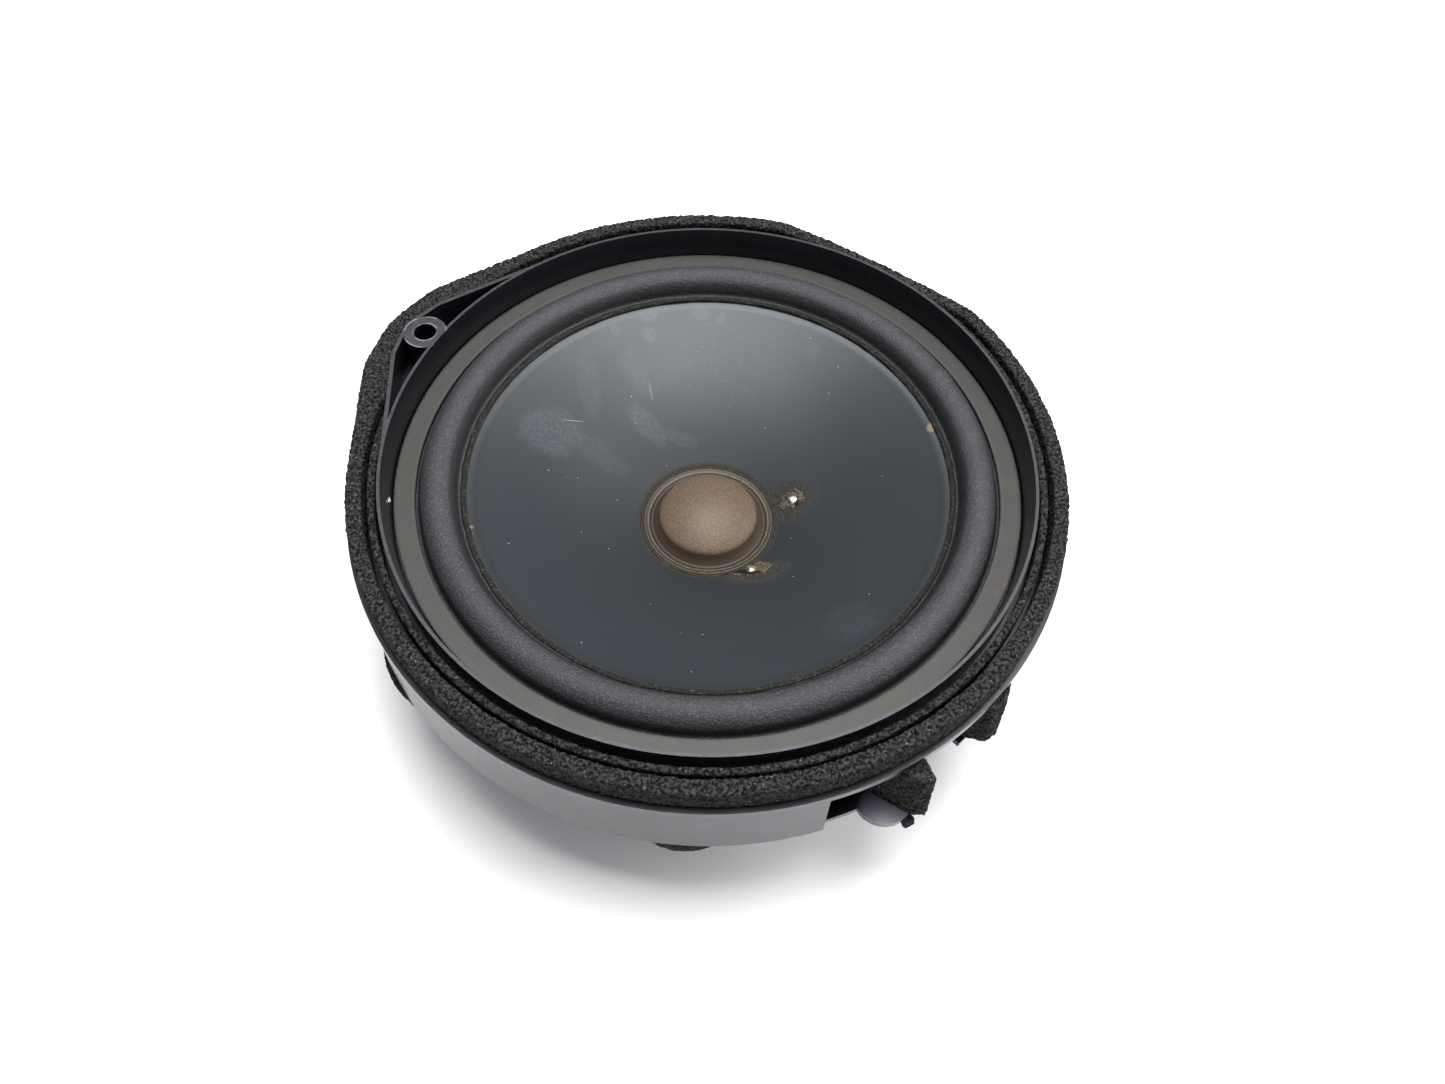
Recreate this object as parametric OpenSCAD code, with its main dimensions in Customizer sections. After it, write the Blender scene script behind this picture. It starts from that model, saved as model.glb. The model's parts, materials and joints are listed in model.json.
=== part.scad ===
// Round door speaker of a car: a moulded carrier with a collar, a flange and
// one screw tab, a cone with its roll surround and dust cap, and the motor.
// Millimetres. Origin: centre of the motor's flat back face. +Z is the side
// that faces the listener.

/* [Front] */
// Height of the grey clamp ring's top face above the back of the motor
ring_z = 56; // [54:0.5:62]
// Outer radius of the clamp ring
ring_r = 77.9; // [77:0.1:78]
// Inner radius of the clamp ring
ring_inner_r = 72.6; // [72:0.1:74]
// Height of the collar's rim above the clamp ring
rim_rise = 7.9; // [5:0.1:9]
// Outer radius of the collar at its rim
collar_r = 80.1; // [79.8:0.1:81]
// Outer radius of the mounting flange
flange_r = 89.1; // [89:0.1:92]
// Thickness of the mounting flange
flange_t = 2.2; // [1.5:0.1:3]

/* [Skirt and tab] */
// Outer radius of the skirt at its lower edge
skirt_r = 89.2; // [88.8:0.1:91]
// Height of the skirt's lower edge above the back of the motor
skirt_z = 35; // [33:0.5:38]
// Plan angle of the screw tab's centre line
tab_a = 154.6; // [140:0.1:170]
// Plan angle where the skirt ends, next to the open sector
skirt_end_a = 288.2; // [280:0.1:292]
// Distance of the screw hole from the centre line
hole_at = 83.8; // [83.7:0.1:84]
// Diameter of the screw hole
hole_d = 5.8; // [4:0.1:6]
// Diameter of the screw boss
boss_d = 11.2; // [10:0.1:12]

/* [Cone] */
// Radius of the cone's visible edge
cone_r = 60.4; // [59:0.1:61]
// Radius of the voice coil former
former_r = 12.8; // [12.8:0.1:13]
// Radius of the roll's crest
roll_r = 67.2; // [67:0.1:67.4]
// Half the width of the roll
roll_half_w = 4.6; // [4:0.1:4.8]
// Height of the roll's crest above its feet
roll_h = 5.2; // [4:0.1:6]

/* [Foam] */
// Height of the outer gasket strip
gasket_h = 7.1; // [5:0.1:8]
// Height of the inner gasket strip
gasket_inner_h = 6.2; // [3:0.1:6.8]
// Thickness of the strips under the skirt
rear_foam_t = 3.8; // [2:0.1:5]

/* [Motor] */
// Diameter of the ferrite ring
magnet_d = 80; // [70:1:90]
// Thickness of the ferrite ring
magnet_t = 10; // [8:0.5:10]
// Diameter of the top plate and the back plate
plate_d = 74; // [66:1:80]

/* [Hidden] */
$fn = 96;
gap = 0.05;

// heights
rim_z = ring_z + rim_rise;
ring_t = 1.2;
foot_t = 0.7;
foot_z = ring_z - ring_t - foot_t - gap;
ledge_z = foot_z - gap;
flange_top = ring_z - 0.8;
flange_z = flange_top - flange_t;
ledge_under_r = 79.4;
ledge_under_z = ledge_z - 2.6;
back_plate_t = 6;
top_plate_z = back_plate_t + magnet_t;
top_plate_t = 5;
floor_z = top_plate_z + top_plate_t;
floor_t = 2.4;
spider_seat_z = 28;

// carrier wall: inner surface runs straight from the spider seat to the ledge
wall_low_r = 46;
wall_high_r = 72.9;
wall_high_z = 51;
wall_w = 3.6;
wall_slope = (wall_high_r - wall_low_r) / (wall_high_z - spider_seat_z);
function wall_r(z) = wall_low_r + wall_slope * (z - spider_seat_z);

// the windows of the sloping wall, seven of the eight places in the circle
window_z0 = 31.5;
window_z1 = 47;
window_half_a = 15.5;

// the carrier is one moulding; its nodes meet with this slit between them
seam = 0.02;
// half the plan angle of the part round the screw tab
tab_half_a = 35;

// skirt and its inward return at the lower edge
skirt_t = 1.8;
skirt_top_r = 88.7;
return_r = 80.5;
return_t = 1.6;
rib_t = 1.6;

// the layout is symmetrical about the tab's centre line
function mirrored(a) = 2 * tab_a - a;
skirt_start_a = mirrored(skirt_end_a);
sector_a = tab_a + 180;

// tongues that hook behind the door panel, and their shelves
shelf_t = 1.8;
shelf_a0 = skirt_end_a + 0.03;
shelf_a1 = 306.1;
shelf_b0 = 313.3;
shelf_b1 = 324.1;
shelf_r = 87.8;
tongue_a = 298.4;
tongue_w = 13.8;
tongue_tip_r = 94.3;

// cone line
neck_r = former_r + 0.15;
cone_z = ring_z - 2;
neck_z = cone_z - 23;
cone_slope = (cone_z - neck_z) / (cone_r - neck_r);
cone_tilt = atan(cone_slope);
cone_t = 0.7;
function cone_top(r) = neck_z + cone_slope * (r - neck_r);

// dust cap
cap_lip_r = 16;
cap_rim_r = 17.2;
dome_r = 12.7;
dome_edge_z = cone_top(cap_lip_r) + 3.9;
dome_rise = 3.4;
cap_t = 0.5;

// lead eyelets on the cone: distance from the centre and plan angle
eyelets = [[22.9, 14], [19.5, 306]];
eyelet_hole_r = 0.75;

// voice coil
former_t = 0.18;
former_z = 13;
former_top = neck_z + 0.7;
winding_r = 13.3;
winding_z = 14;
winding_h = 9;
plate_gap_r = 13.75;
pole_r = 12.25;

// spider
spider_mid_z = spider_seat_z + gap + 0.25;
spider_t = 0.5;
spider_wave = 0.85;
spider_turns = 5;
spider_inner_r = former_r + 0.05;
spider_roll_r0 = 15;
spider_roll_r1 = 38;
spider_outer_r = 45;

// connector socket in the middle of the open sector
socket_r0 = 59;
socket_r1 = 82;
socket_w = 21;
socket_z = 35.2;
socket_h = 11.6;
socket_wall = 1.5;
socket_back = 7;
blade_w = 4.8;
blade_t = 0.8;
blade_pitch = 7.6;

// ---- helpers ----

function at(r, a) = [r * cos(a), r * sin(a)];

// Ring sector: a section in (radius, height) turned from angle a0 to a1
module sector(a0, a1, section) {
  rotate([0, 0, a0])
    rotate_extrude(angle = a1 - a0)
      polygon(section);
}

// Section of a plain band
function band(r0, r1, z0, z1) = [[r0, z0], [r1, z0], [r1, z1], [r0, z1]];

// Points along an arc
function arc(c, r, a0, a1, steps) = [for (k = [0:steps]) c + at(r, a0 + (a1 - a0) * k / steps)];

// Outline of the collar with its screw tab, tab along +X: the big circle, and
// a nose and two corners, "spread" off the centre line, joined by tangents
module tab_outline(base_r, corner_r, nose_r, spread) {
  nose = [hole_at, 0];
  corner = [hole_at + 0.5, spread];
  base_tangent = atan2(corner[1], corner[0]) + acos((base_r - corner_r) / norm(corner));
  nose_line = corner - nose;
  nose_tangent = atan2(nose_line[1], nose_line[0]) - acos((nose_r - corner_r) / norm(nose_line));
  polygon(concat(
    arc([0, 0], base_r, base_tangent, 360 - base_tangent, 90),
    arc([corner[0], -spread], corner_r, -base_tangent, -nose_tangent, 5),
    arc(nose, nose_r, -nose_tangent, nose_tangent, 12),
    arc(corner, corner_r, nose_tangent, base_tangent, 5)
  ));
}

// Outline of the tab's own walls; its big circle stays inside the collar wall
module tab_shape(grow = 0) {
  tab_outline(collar_r - 0.15 + grow, 3 + grow, boss_d / 2 + 0.3 + grow, 9);
}

// Outer outline of the front gasket
module gasket_shape() {
  tab_outline(87.8, 8.7, 11.4, 12);
}

// Outline of the flange round the tab; its big circle stays inside the flange
module tab_flange_shape() {
  tab_outline(86, 9.6, 12.3, 12);
}

// Places its children on the cone's upper surface, +Z along the normal
module on_cone(r, a) {
  rotate([0, 0, a])
    translate([r, 0, cone_top(r)])
      rotate([0, -cone_tilt, 0])
        children();
}

// ---- carrier ----

module moulding() {
  color([0.07, 0.075, 0.085])
    children();
}

// Turned section: collar, ledge for the ring, flange, and the wall above the windows
module collar_ring() {
  rotate_extrude()
    polygon([
      [collar_r - 0.75, rim_z],
      [78.2, ring_z + 0.2],
      [78.2, ledge_z],
      [wall_high_r, ledge_z],
      [wall_high_r, wall_high_z],
      [wall_r(window_z1), window_z1],
      [wall_r(window_z1) + wall_w, window_z1],
      [wall_r(wall_high_z - 1.5) + wall_w, wall_high_z - 1.5],
      [ledge_under_r, ledge_under_z],
      [collar_r, flange_z],
      [flange_r, flange_z],
      [flange_r, flange_top],
      [collar_r, flange_top],
      [collar_r, rim_z]
    ]);
}

// Part of the plan round the screw tab, from the upper wall outwards
module tab_part(half_a) {
  sector(tab_a - half_a, tab_a + half_a, [
    [60, window_z1 - 1],
    [60, rim_z + 1],
    [100, rim_z + 1],
    [100, skirt_z - 1],
    [77, skirt_z - 1],
    [77, window_z1 - 1]
  ]);
}

module collar() {
  moulding()
    difference() {
      collar_ring();
      tab_part(tab_half_a);
    }
}

// Skirt wall with its inward return between two plan angles
module skirt(a0, a1, top_z) {
  top_r = skirt_top_r;
  sector(a0, a1, [
    [return_r, skirt_z],
    [skirt_r, skirt_z],
    [top_r, top_z],
    [top_r - skirt_t, top_z],
    [skirt_r - skirt_t, skirt_z + return_t],
    [return_r, skirt_z + return_t]
  ]);
}

module skirt_left() {
  moulding()
    skirt(tab_a + tab_half_a + seam, skirt_end_a, flange_z - seam);
}

module skirt_right() {
  moulding()
    skirt(skirt_start_a, tab_a - tab_half_a - seam, flange_z - seam);
}

// Screw tab: box wall with two pockets beside the boss, and its flange
module tab_walls() {
  box_z = flange_z - 9;
  lip_step = 0.2;
  rotate([0, 0, tab_a]) {
    intersection() {
      translate([70, -40, box_z])
        cube([30, 80, rim_z - box_z]);
      difference() {
        translate([0, 0, box_z])
          linear_extrude(height = rim_z - box_z)
            difference() {
              tab_shape();
              circle(r = collar_r - 0.5);
            }
        translate([0, 0, box_z + 1.5])
          linear_extrude(height = rim_z - box_z)
            difference() {
              tab_shape(-1);
              circle(r = collar_r - 0.1);
              translate([hole_at, 0])
                circle(r = boss_d / 2 - 0.2);
            }
      }
    }
    translate([0, 0, flange_z + lip_step])
      linear_extrude(height = flange_t - 2 * lip_step)
        difference() {
          tab_flange_shape();
          circle(r = collar_r - 0.5);
        }
    difference() {
      translate([hole_at, 0, skirt_z])
        cylinder(h = rim_z - skirt_z, d = boss_d);
      translate([0, 0, ledge_z - 1])
        cylinder(h = rim_z, r = collar_r - 0.4);
    }
  }
}

// The carrier round the screw tab, with its stretch of collar and skirt
module screw_tab() {
  half_a = tab_half_a - 0.02;
  moulding()
    difference() {
      intersection() {
        union() {
          collar_ring();
          skirt(tab_a - tab_half_a - 5, tab_a + tab_half_a + 5, flange_z + 0.5);
          tab_walls();
        }
        tab_part(half_a);
      }
      rotate([0, 0, tab_a])
        translate([hole_at, 0, skirt_z - 1])
          cylinder(h = rim_z - skirt_z + 2, d = hole_d);
    }
}

// Turned section of the floor on the motor, the spider seat and the lowest wall
module basket_floor() {
  seat_r = 38.5;
  floor_r = 20;
  seat_t = 2.4;
  under_z = spider_seat_z - seat_t;
  top_z = window_z0 - seam;
  moulding()
    difference() {
      rotate_extrude()
        polygon([
          [wall_r(top_z), top_z],
          [wall_low_r, spider_seat_z],
          [seat_r, spider_seat_z],
          [seat_r, floor_z + floor_t],
          [floor_r, floor_z + floor_t],
          [floor_r, floor_z + gap],
          [seat_r + seat_t, floor_z + gap],
          [seat_r + seat_t, under_z],
          [wall_r(under_z) + wall_w, under_z],
          [wall_r(top_z) + wall_w, top_z]
        ]);
      for (k = [0:3])
        rotate([0, 0, 45 + 90 * k])
          translate([30.5, 0, floor_z - 1])
            cylinder(h = floor_t + 2, r = 1.9);
    }
}

// Sloping wall between two plan angles, over the height of the windows
module window_wall(a0, a1) {
  z0 = window_z0;
  z1 = window_z1 - seam;
  sector(a0, a1, [
    [wall_r(z0), z0],
    [wall_r(z0) + wall_w, z0],
    [wall_r(z1) + wall_w, z1],
    [wall_r(z1), z1]
  ]);
}

// The wall's six narrow struts between the windows
module basket_struts() {
  moulding()
    for (k = [1:6])
      window_wall(sector_a + 45 * k + window_half_a, sector_a + 45 * (k + 1) - window_half_a);
}

// The wall's wide part, which the connector socket passes through
module socket_wall() {
  moulding()
    difference() {
      window_wall(sector_a - 45 + window_half_a, sector_a + 45 - window_half_a);
      rotate([0, 0, sector_a])
        translate([socket_r0 - 5, -socket_w / 2 - 0.15, socket_z - 0.15])
          cube([24, socket_w + 0.3, socket_h + 2]);
    }
}

// Upright rib outside the sloping wall: from height low up to the flange,
// between two distances from the centre line
module rib(a, low, from, reach) {
  slit = 2 * seam;
  wall_top_z = wall_high_z - 1.5;
  rotate([0, 0, a])
    rotate([90, 0, 0])
      translate([0, 0, -rib_t / 2])
        linear_extrude(height = rib_t)
          intersection() {
            polygon([
              [wall_r(low) + wall_w + slit, low],
              [wall_r(wall_top_z) + wall_w + slit, wall_top_z - slit],
              [ledge_under_r, ledge_under_z - slit],
              [collar_r, flange_z - slit],
              [skirt_top_r - skirt_t - slit, flange_z - slit],
              [skirt_r - skirt_t - slit, low]
            ]);
            translate([from, 30])
              square([reach - from, 30]);
          }
}

// Ribs behind the skirt, at the skirt's ends and beside the foam blocks
module carrier_ribs() {
  return_top = skirt_z + return_t + seam;
  shelf_top = skirt_z + shelf_t + seam;
  wall_in = 50;
  out = 100;
  foam_in = 78.9;
  moulding() {
    for (k = [1, 2, 5, 6])
      rib(sector_a + 22.5 + 45 * k, return_top, wall_in, out);
    for (a = [skirt_end_a - 0.6, mirrored(skirt_end_a - 0.6)])
      rib(a, return_top, ledge_under_r, out);
    for (a = [shelf_a1 - 0.7, mirrored(shelf_a1 - 0.7)])
      rib(a, shelf_top, wall_in, flange_r - 0.3);
    for (a = [shelf_b0 + 0.6, mirrored(shelf_b0 + 0.6)])
      rib(a, shelf_top, wall_in, foam_in);
  }
}

// Shelf between two plan angles, from the sloping wall to the rim line
module shelf(a0, a1) {
  top_z = skirt_z + shelf_t;
  sector(a0, a1, [
    [wall_r(skirt_z) + wall_w + seam, skirt_z],
    [shelf_r, skirt_z],
    [shelf_r, top_z],
    [wall_r(top_z) + wall_w + seam, top_z]
  ]);
}

// Rounded tongue that stands out from a shelf
module tongue(a) {
  tip_r = tongue_w / 2;
  rotate([0, 0, a])
    translate([0, 0, skirt_z + 0.1])
      linear_extrude(height = shelf_t + 0.1)
        union() {
          translate([78, -tip_r])
            square([tongue_tip_r - tip_r - 78, tongue_w]);
          translate([tongue_tip_r - tip_r, 0])
            circle(r = tip_r);
        }
}

module tongue_shelves() {
  moulding() {
    shelf(shelf_a0, shelf_a1);
    shelf(mirrored(shelf_a1), mirrored(shelf_a0));
    shelf(shelf_b0, shelf_b1);
    shelf(mirrored(shelf_b1), mirrored(shelf_b0));
    tongue(tongue_a);
    tongue(mirrored(tongue_a));
  }
}

// ---- ring, surround and cone ----

module clamp_ring() {
  color([0.42, 0.40, 0.37])
    translate([0, 0, ring_z - ring_t])
      difference() {
        cylinder(h = ring_t, r = ring_r);
        translate([0, 0, -1])
          cylinder(h = ring_t + 2, r = ring_inner_r);
      }
}

// Half roll between two flat feet
module surround() {
  steps = 14;
  base = foot_z + foot_t;
  inner_foot_r = cone_r + 0.2;
  outer_foot_r = ring_r - 0.3;
  outer_w = roll_half_w;
  inner_w = roll_half_w - foot_t;
  color([0.17, 0.18, 0.19])
    rotate_extrude()
      polygon(concat(
        [[inner_foot_r, foot_z], [inner_foot_r, base]],
        [for (k = [0:steps])
          [roll_r - outer_w * cos(180 * k / steps), base + roll_h * sin(180 * k / steps)]],
        [[outer_foot_r, base], [outer_foot_r, foot_z]],
        [for (k = [0:steps])
          [roll_r + inner_w * cos(180 * k / steps),
           foot_z + roll_h * sin(180 * k / steps)]]
      ));
}

// Bead of glue on the inner edge of the surround
module surround_glue() {
  color([0.33, 0.29, 0.23])
    rotate_extrude()
      polygon([
        [cone_r + 0.3, foot_z + foot_t + gap],
        [cone_r + 0.6, foot_z + foot_t + 0.3],
        [cone_r + 1.1, foot_z + foot_t + 0.3],
        [cone_r + 1.6, foot_z + foot_t + gap]
      ]);
}

module cone() {
  edge_r = cone_r + 2.1;
  neck_h = 1.8;
  color([0.22, 0.24, 0.26])
    difference() {
      rotate_extrude()
        polygon([
          [neck_r, neck_z],
          [cone_r, cone_z],
          [edge_r, cone_z],
          [edge_r, cone_z - cone_t],
          [cone_r + 0.3, cone_z - cone_t],
          [neck_r + cone_t, neck_z - cone_t + cone_slope * cone_t],
          [neck_r + cone_t, neck_z - neck_h],
          [neck_r, neck_z - neck_h]
        ]);
      for (e = eyelets)
        on_cone(e[0], e[1])
          translate([0, 0, -3])
            cylinder(h = 6, r = eyelet_hole_r);
    }
}

// Flat rim on the cone, shallow moat, steep side and a domed top
module dust_cap() {
  steps = 8;
  dome_ball = (dome_r * dome_r + dome_rise * dome_rise) / (2 * dome_rise);
  centre_z = dome_edge_z + dome_rise - dome_ball;
  edge_angle = asin(dome_r / dome_ball);
  inner_ball = dome_ball - cap_t;
  moat_z = cone_top(cap_lip_r) + 0.4;
  color([0.40, 0.34, 0.29])
    rotate_extrude()
      polygon(concat(
        [[cap_rim_r, cone_top(cap_rim_r) + 0.1], [cap_rim_r, cone_top(cap_rim_r) + 0.6]],
        [[cap_lip_r + 0.2, cone_top(cap_lip_r) + 0.8], [cap_lip_r - 0.2, cone_top(cap_lip_r) + 0.8]],
        [[cap_lip_r - 0.6, moat_z], [dome_r + 2, moat_z], [dome_r + 0.4, dome_edge_z - 0.8]],
        [for (k = [0:steps])
          [dome_ball * sin(edge_angle * (1 - k / steps)),
           centre_z + dome_ball * cos(edge_angle * (1 - k / steps))]],
        [for (k = [0:steps])
          [inner_ball * sin(edge_angle * k / steps),
           centre_z + inner_ball * cos(edge_angle * k / steps)]],
        [[dome_r - 0.15, dome_edge_z - 0.8], [dome_r + 1.5, moat_z - cap_t]],
        [[cap_lip_r - 0.9, moat_z - cap_t], [cap_lip_r, cone_top(cap_lip_r) + 0.1]]
      ));
}

module cap_glue() {
  r0 = cap_rim_r + gap;
  r1 = cap_rim_r + 0.8;
  color([0.30, 0.27, 0.22])
    rotate_extrude()
      polygon([
        [r0, cone_top(r0) + gap],
        [r1, cone_top(r1) + gap],
        [r0, cone_top(r0) + 0.45]
      ]);
}

// Solder-filled eyelets: head above the cone, shank through it, washer below
module lead_eyelets() {
  under = cone_t * cos(cone_tilt);
  color([0.78, 0.77, 0.74])
    for (e = eyelets)
      on_cone(e[0], e[1]) {
        translate([0, 0, gap])
          cylinder(h = 0.35, r = 1.2);
        translate([0, 0, 0.2])
          intersection() {
            sphere(r = 0.95);
            cylinder(h = 2, r = 1);
          }
        translate([0, 0, -under - 0.5])
          cylinder(h = under + 0.7, r = eyelet_hole_r - gap);
        translate([0, 0, -under - 0.5])
          cylinder(h = 0.45, r = 1.2);
      }
}

// Thin patches of glue on the cone round the eyelets
module lead_glue() {
  patch_r = 3;
  r0 = 15;
  r1 = 28;
  color([0.45, 0.37, 0.26])
    for (e = eyelets)
      difference() {
        intersection() {
          on_cone(e[0], e[1])
            translate([0, 0, -2])
              cylinder(h = 5, r = patch_r);
          rotate_extrude()
            polygon([
              [r0, cone_top(r0) + 0.1],
              [r1, cone_top(r1) + 0.1],
              [r1, cone_top(r1) + 0.45],
              [r0, cone_top(r0) + 0.45]
            ]);
        }
        on_cone(e[0], e[1])
          translate([0, 0, -3])
            cylinder(h = 6, r = 1.3);
        cylinder(h = ring_z, r = cap_rim_r + 0.9);
      }
}

// ---- voice coil and spider ----

module tube(z, h, r0, r1) {
  translate([0, 0, z])
    difference() {
      cylinder(h = h, r = r1);
      translate([0, 0, -1])
        cylinder(h = h + 2, r = r0);
    }
}

module coil_former() {
  color([0.55, 0.42, 0.25])
    tube(former_z, former_top - former_z, former_r - former_t, former_r);
}

module coil_winding() {
  color([0.62, 0.33, 0.15])
    tube(winding_z, winding_h, former_r + 0.02, winding_r);
}

// Bead of glue where the former, the spider and the cone's neck meet
module neck_glue() {
  r0 = neck_r + cone_t + gap;
  color([0.30, 0.22, 0.12])
    rotate_extrude()
      polygon([
        [r0, spider_mid_z + spider_t / 2 + gap],
        [r0 + 0.9, spider_mid_z + spider_t / 2 + gap],
        [r0, neck_z - 0.9]
      ]);
}

// Corrugated disc: a flat neck, concentric waves and a flat foot on the seat
module spider() {
  steps = spider_turns * 8;
  half = spider_t / 2;
  function wave(k) = [
    spider_roll_r0 + (spider_roll_r1 - spider_roll_r0) * k / steps,
    spider_mid_z + spider_wave * sin(360 * spider_turns * k / steps)
  ];
  color([0.62, 0.50, 0.30])
    rotate_extrude()
      polygon(concat(
        [[spider_inner_r, spider_mid_z - half]],
        [for (k = [0:steps]) wave(k) - [0, half]],
        [[spider_outer_r, spider_mid_z - half], [spider_outer_r, spider_mid_z + half]],
        [for (k = [steps:-1:0]) wave(k) + [0, half]],
        [[spider_inner_r, spider_mid_z + half]]
      ));
}

// ---- leads and connector ----

// Round tube through a list of points; "sides" flats round it
module lead_tube(points, r) {
  sides = 8;
  last = len(points) - 1;
  function along(k) = points[min(k + 1, last)] - points[max(k - 1, 0)];
  function unit(v) = v / norm(v);
  function side_dir(k) = unit(cross(unit(along(k)), [0, 0, 1]));
  function up_dir(k) = cross(side_dir(k), unit(along(k)));
  rings = [for (k = [0:last])
    for (j = [0:sides - 1])
      points[k] + r * (cos(360 * j / sides) * side_dir(k) + sin(360 * j / sides) * up_dir(k))];
  walls = [for (k = [0:last - 1])
    for (j = [0:sides - 1])
      [k * sides + j, k * sides + (j + 1) % sides,
       (k + 1) * sides + (j + 1) % sides, (k + 1) * sides + j]];
  caps = [[for (j = [sides - 1:-1:0]) j], [for (j = [0:sides - 1]) last * sides + j]];
  polyhedron(points = rings, faces = concat(walls, caps));
}

// Cubic curve through four control points
function bezier(p, t) =
  p[0] * pow(1 - t, 3) + p[1] * 3 * t * pow(1 - t, 2)
  + p[2] * 3 * t * t * (1 - t) + p[3] * pow(t, 3);

// Flexible lead from an eyelet's underside to a solder tab of the socket
module lead(e, side) {
  lead_r = 0.5;
  rings = 20;
  start_r = e[0] + 0.9;
  start = concat(at(start_r, e[1]), cone_top(start_r) - 2.3);
  tab = at(socket_r0 - 4.2, sector_a) + at(side * blade_pitch / 2, sector_a + 90);
  end = concat(tab, socket_z + 4.6);
  out = concat(at(9, e[1]), -1);
  lead_tube([for (k = [0:rings])
    bezier([start, start + out, end - concat(at(10, sector_a), 5), end], k / rings)], lead_r);
}

module tinsel_lead_a() {
  color([0.72, 0.52, 0.36])
    lead(eyelets[0], 1);
}

module tinsel_lead_b() {
  color([0.72, 0.52, 0.36])
    lead(eyelets[1], -1);
}

// Socket of the connector: shroud open outwards, with a solid back part
module socket_housing() {
  color([0.12, 0.12, 0.13])
    rotate([0, 0, sector_a])
      difference() {
        translate([socket_r0, -socket_w / 2, socket_z])
          cube([socket_r1 - socket_r0, socket_w, socket_h]);
        translate([socket_r0 + socket_back, -socket_w / 2 + socket_wall, socket_z + socket_wall])
          cube([socket_r1 - socket_r0, socket_w - 2 * socket_wall, socket_h - 2 * socket_wall]);
        for (side = [-1, 1])
          translate([socket_r0 - 1, side * blade_pitch / 2 - blade_w / 2, socket_z + 5.6])
            cube([socket_back + 2, blade_w, blade_t]);
      }
}

// Two flat blades through the socket's back, each with a solder tab inside
module socket_blades() {
  slip = 0.03;
  color([0.80, 0.78, 0.72])
    rotate([0, 0, sector_a])
      for (side = [-1, 1])
        translate([socket_r0 - 5, side * blade_pitch / 2 - blade_w / 2 + slip, socket_z + 5.6 + slip])
          cube([19, blade_w - 2 * slip, blade_t - 2 * slip]);
}

// ---- motor ----

module top_plate() {
  color([0.62, 0.62, 0.60])
    difference() {
      tube(top_plate_z, top_plate_t, plate_gap_r, plate_d / 2);
      for (k = [0:3])
        rotate([0, 0, 45 + 90 * k])
          translate([30.5, 0, top_plate_z + 1])
            cylinder(h = top_plate_t, r = 1.55);
    }
}

// Rivets that hold the carrier's floor on the top plate
module plate_rivets() {
  color([0.70, 0.70, 0.68])
    for (k = [0:3])
      rotate([0, 0, 45 + 90 * k])
        translate([30.5, 0, 0]) {
          translate([0, 0, top_plate_z + 1.1])
            cylinder(h = top_plate_t + floor_t, r = 1.5);
          translate([0, 0, floor_z + floor_t + gap])
            cylinder(h = 0.9, r = 3);
        }
}

module magnet() {
  bevel = 1;
  r = magnet_d / 2;
  color([0.20, 0.20, 0.21])
    rotate_extrude()
      polygon([
        [20, back_plate_t + gap],
        [r - bevel, back_plate_t + gap],
        [r, back_plate_t + bevel],
        [r, top_plate_z - bevel],
        [r - bevel, top_plate_z - gap],
        [20, top_plate_z - gap]
      ]);
}

// Back plate and pole piece in one, with a shallow ring groove in the back
module back_plate() {
  r = plate_d / 2;
  color([0.60, 0.60, 0.58])
    rotate_extrude()
      polygon([
        [0, 0],
        [8, 0],
        [8.6, 0.8],
        [9.6, 0.8],
        [10.2, 0],
        [r - 1.5, 0],
        [r, 1.5],
        [r, back_plate_t],
        [pole_r + 2.5, back_plate_t],
        [pole_r + 0.5, back_plate_t - 1.5],
        [pole_r, back_plate_t - 1.5],
        [pole_r, floor_z - 0.8],
        [pole_r - 0.8, floor_z],
        [0, floor_z]
      ]);
}

// ---- foam ----

module gasket_outer() {
  dip_a = 56.7;
  dip_r = 120;
  dip_z = ring_z + 2.6;
  slit_a = 336;
  color([0.13, 0.12, 0.11])
    difference() {
      rotate([0, 0, tab_a])
        translate([0, 0, flange_top + gap])
          linear_extrude(height = gasket_h)
            difference() {
              gasket_shape();
              tab_shape(0.15);
              circle(r = 84.1);
              rotate([0, 0, slit_a - tab_a])
                translate([80, -0.3])
                  square([12, 0.6]);
            }
      rotate([0, 0, dip_a])
        translate([70, 0, dip_z + dip_r])
          rotate([0, 90, 0])
            cylinder(h = 30, r = dip_r, $fn = 180);
    }
}

module gasket_inner() {
  tab_half = 14;
  color([0.15, 0.13, 0.11])
    difference() {
      sector(tab_a + tab_half, tab_a + 360 - tab_half,
        band(collar_r + 1.15, 83, flange_top + gap, flange_top + gap + gasket_inner_h));
      rotate([0, 0, tab_a])
        translate([0, 0, flange_z])
          linear_extrude(height = 12)
            tab_shape(0.15);
    }
}

// Block of foam on a shelf, squeezed outwards under the flange. Its outline in
// plan is a list of [distance from the centre, plan angle].
module foam_block(outline) {
  low = skirt_z + shelf_t + 0.25;
  high = flange_z - 0.1;
  lean = 0.985;
  color([0.14, 0.13, 0.12])
    translate([0, 0, low])
      linear_extrude(height = high - low, scale = lean)
        polygon([for (q = outline) at(q[0], q[1])]);
}

foam_in_r = 82.6;
skewed = [[foam_in_r, 295.2], [95, 300.5], [95.9, 301.75], [95.1, 302.6], [foam_in_r, 304.3]];
rounded = [
  [foam_in_r, 313.6], [88.4, 314.7], [91.5, 316.1], [92.5, 318.1], [90.3, 321.6], [foam_in_r, 322.8]
];
squeezed = 88.8;

// Plain block between two plan angles on the far side of the sector
function plain(a0, a1) = [
  [foam_in_r, a0], [squeezed, a0 + 0.5], [squeezed + 0.2, (a0 + a1) / 2], [squeezed, a1 - 0.5],
  [foam_in_r, a1]
];

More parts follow.
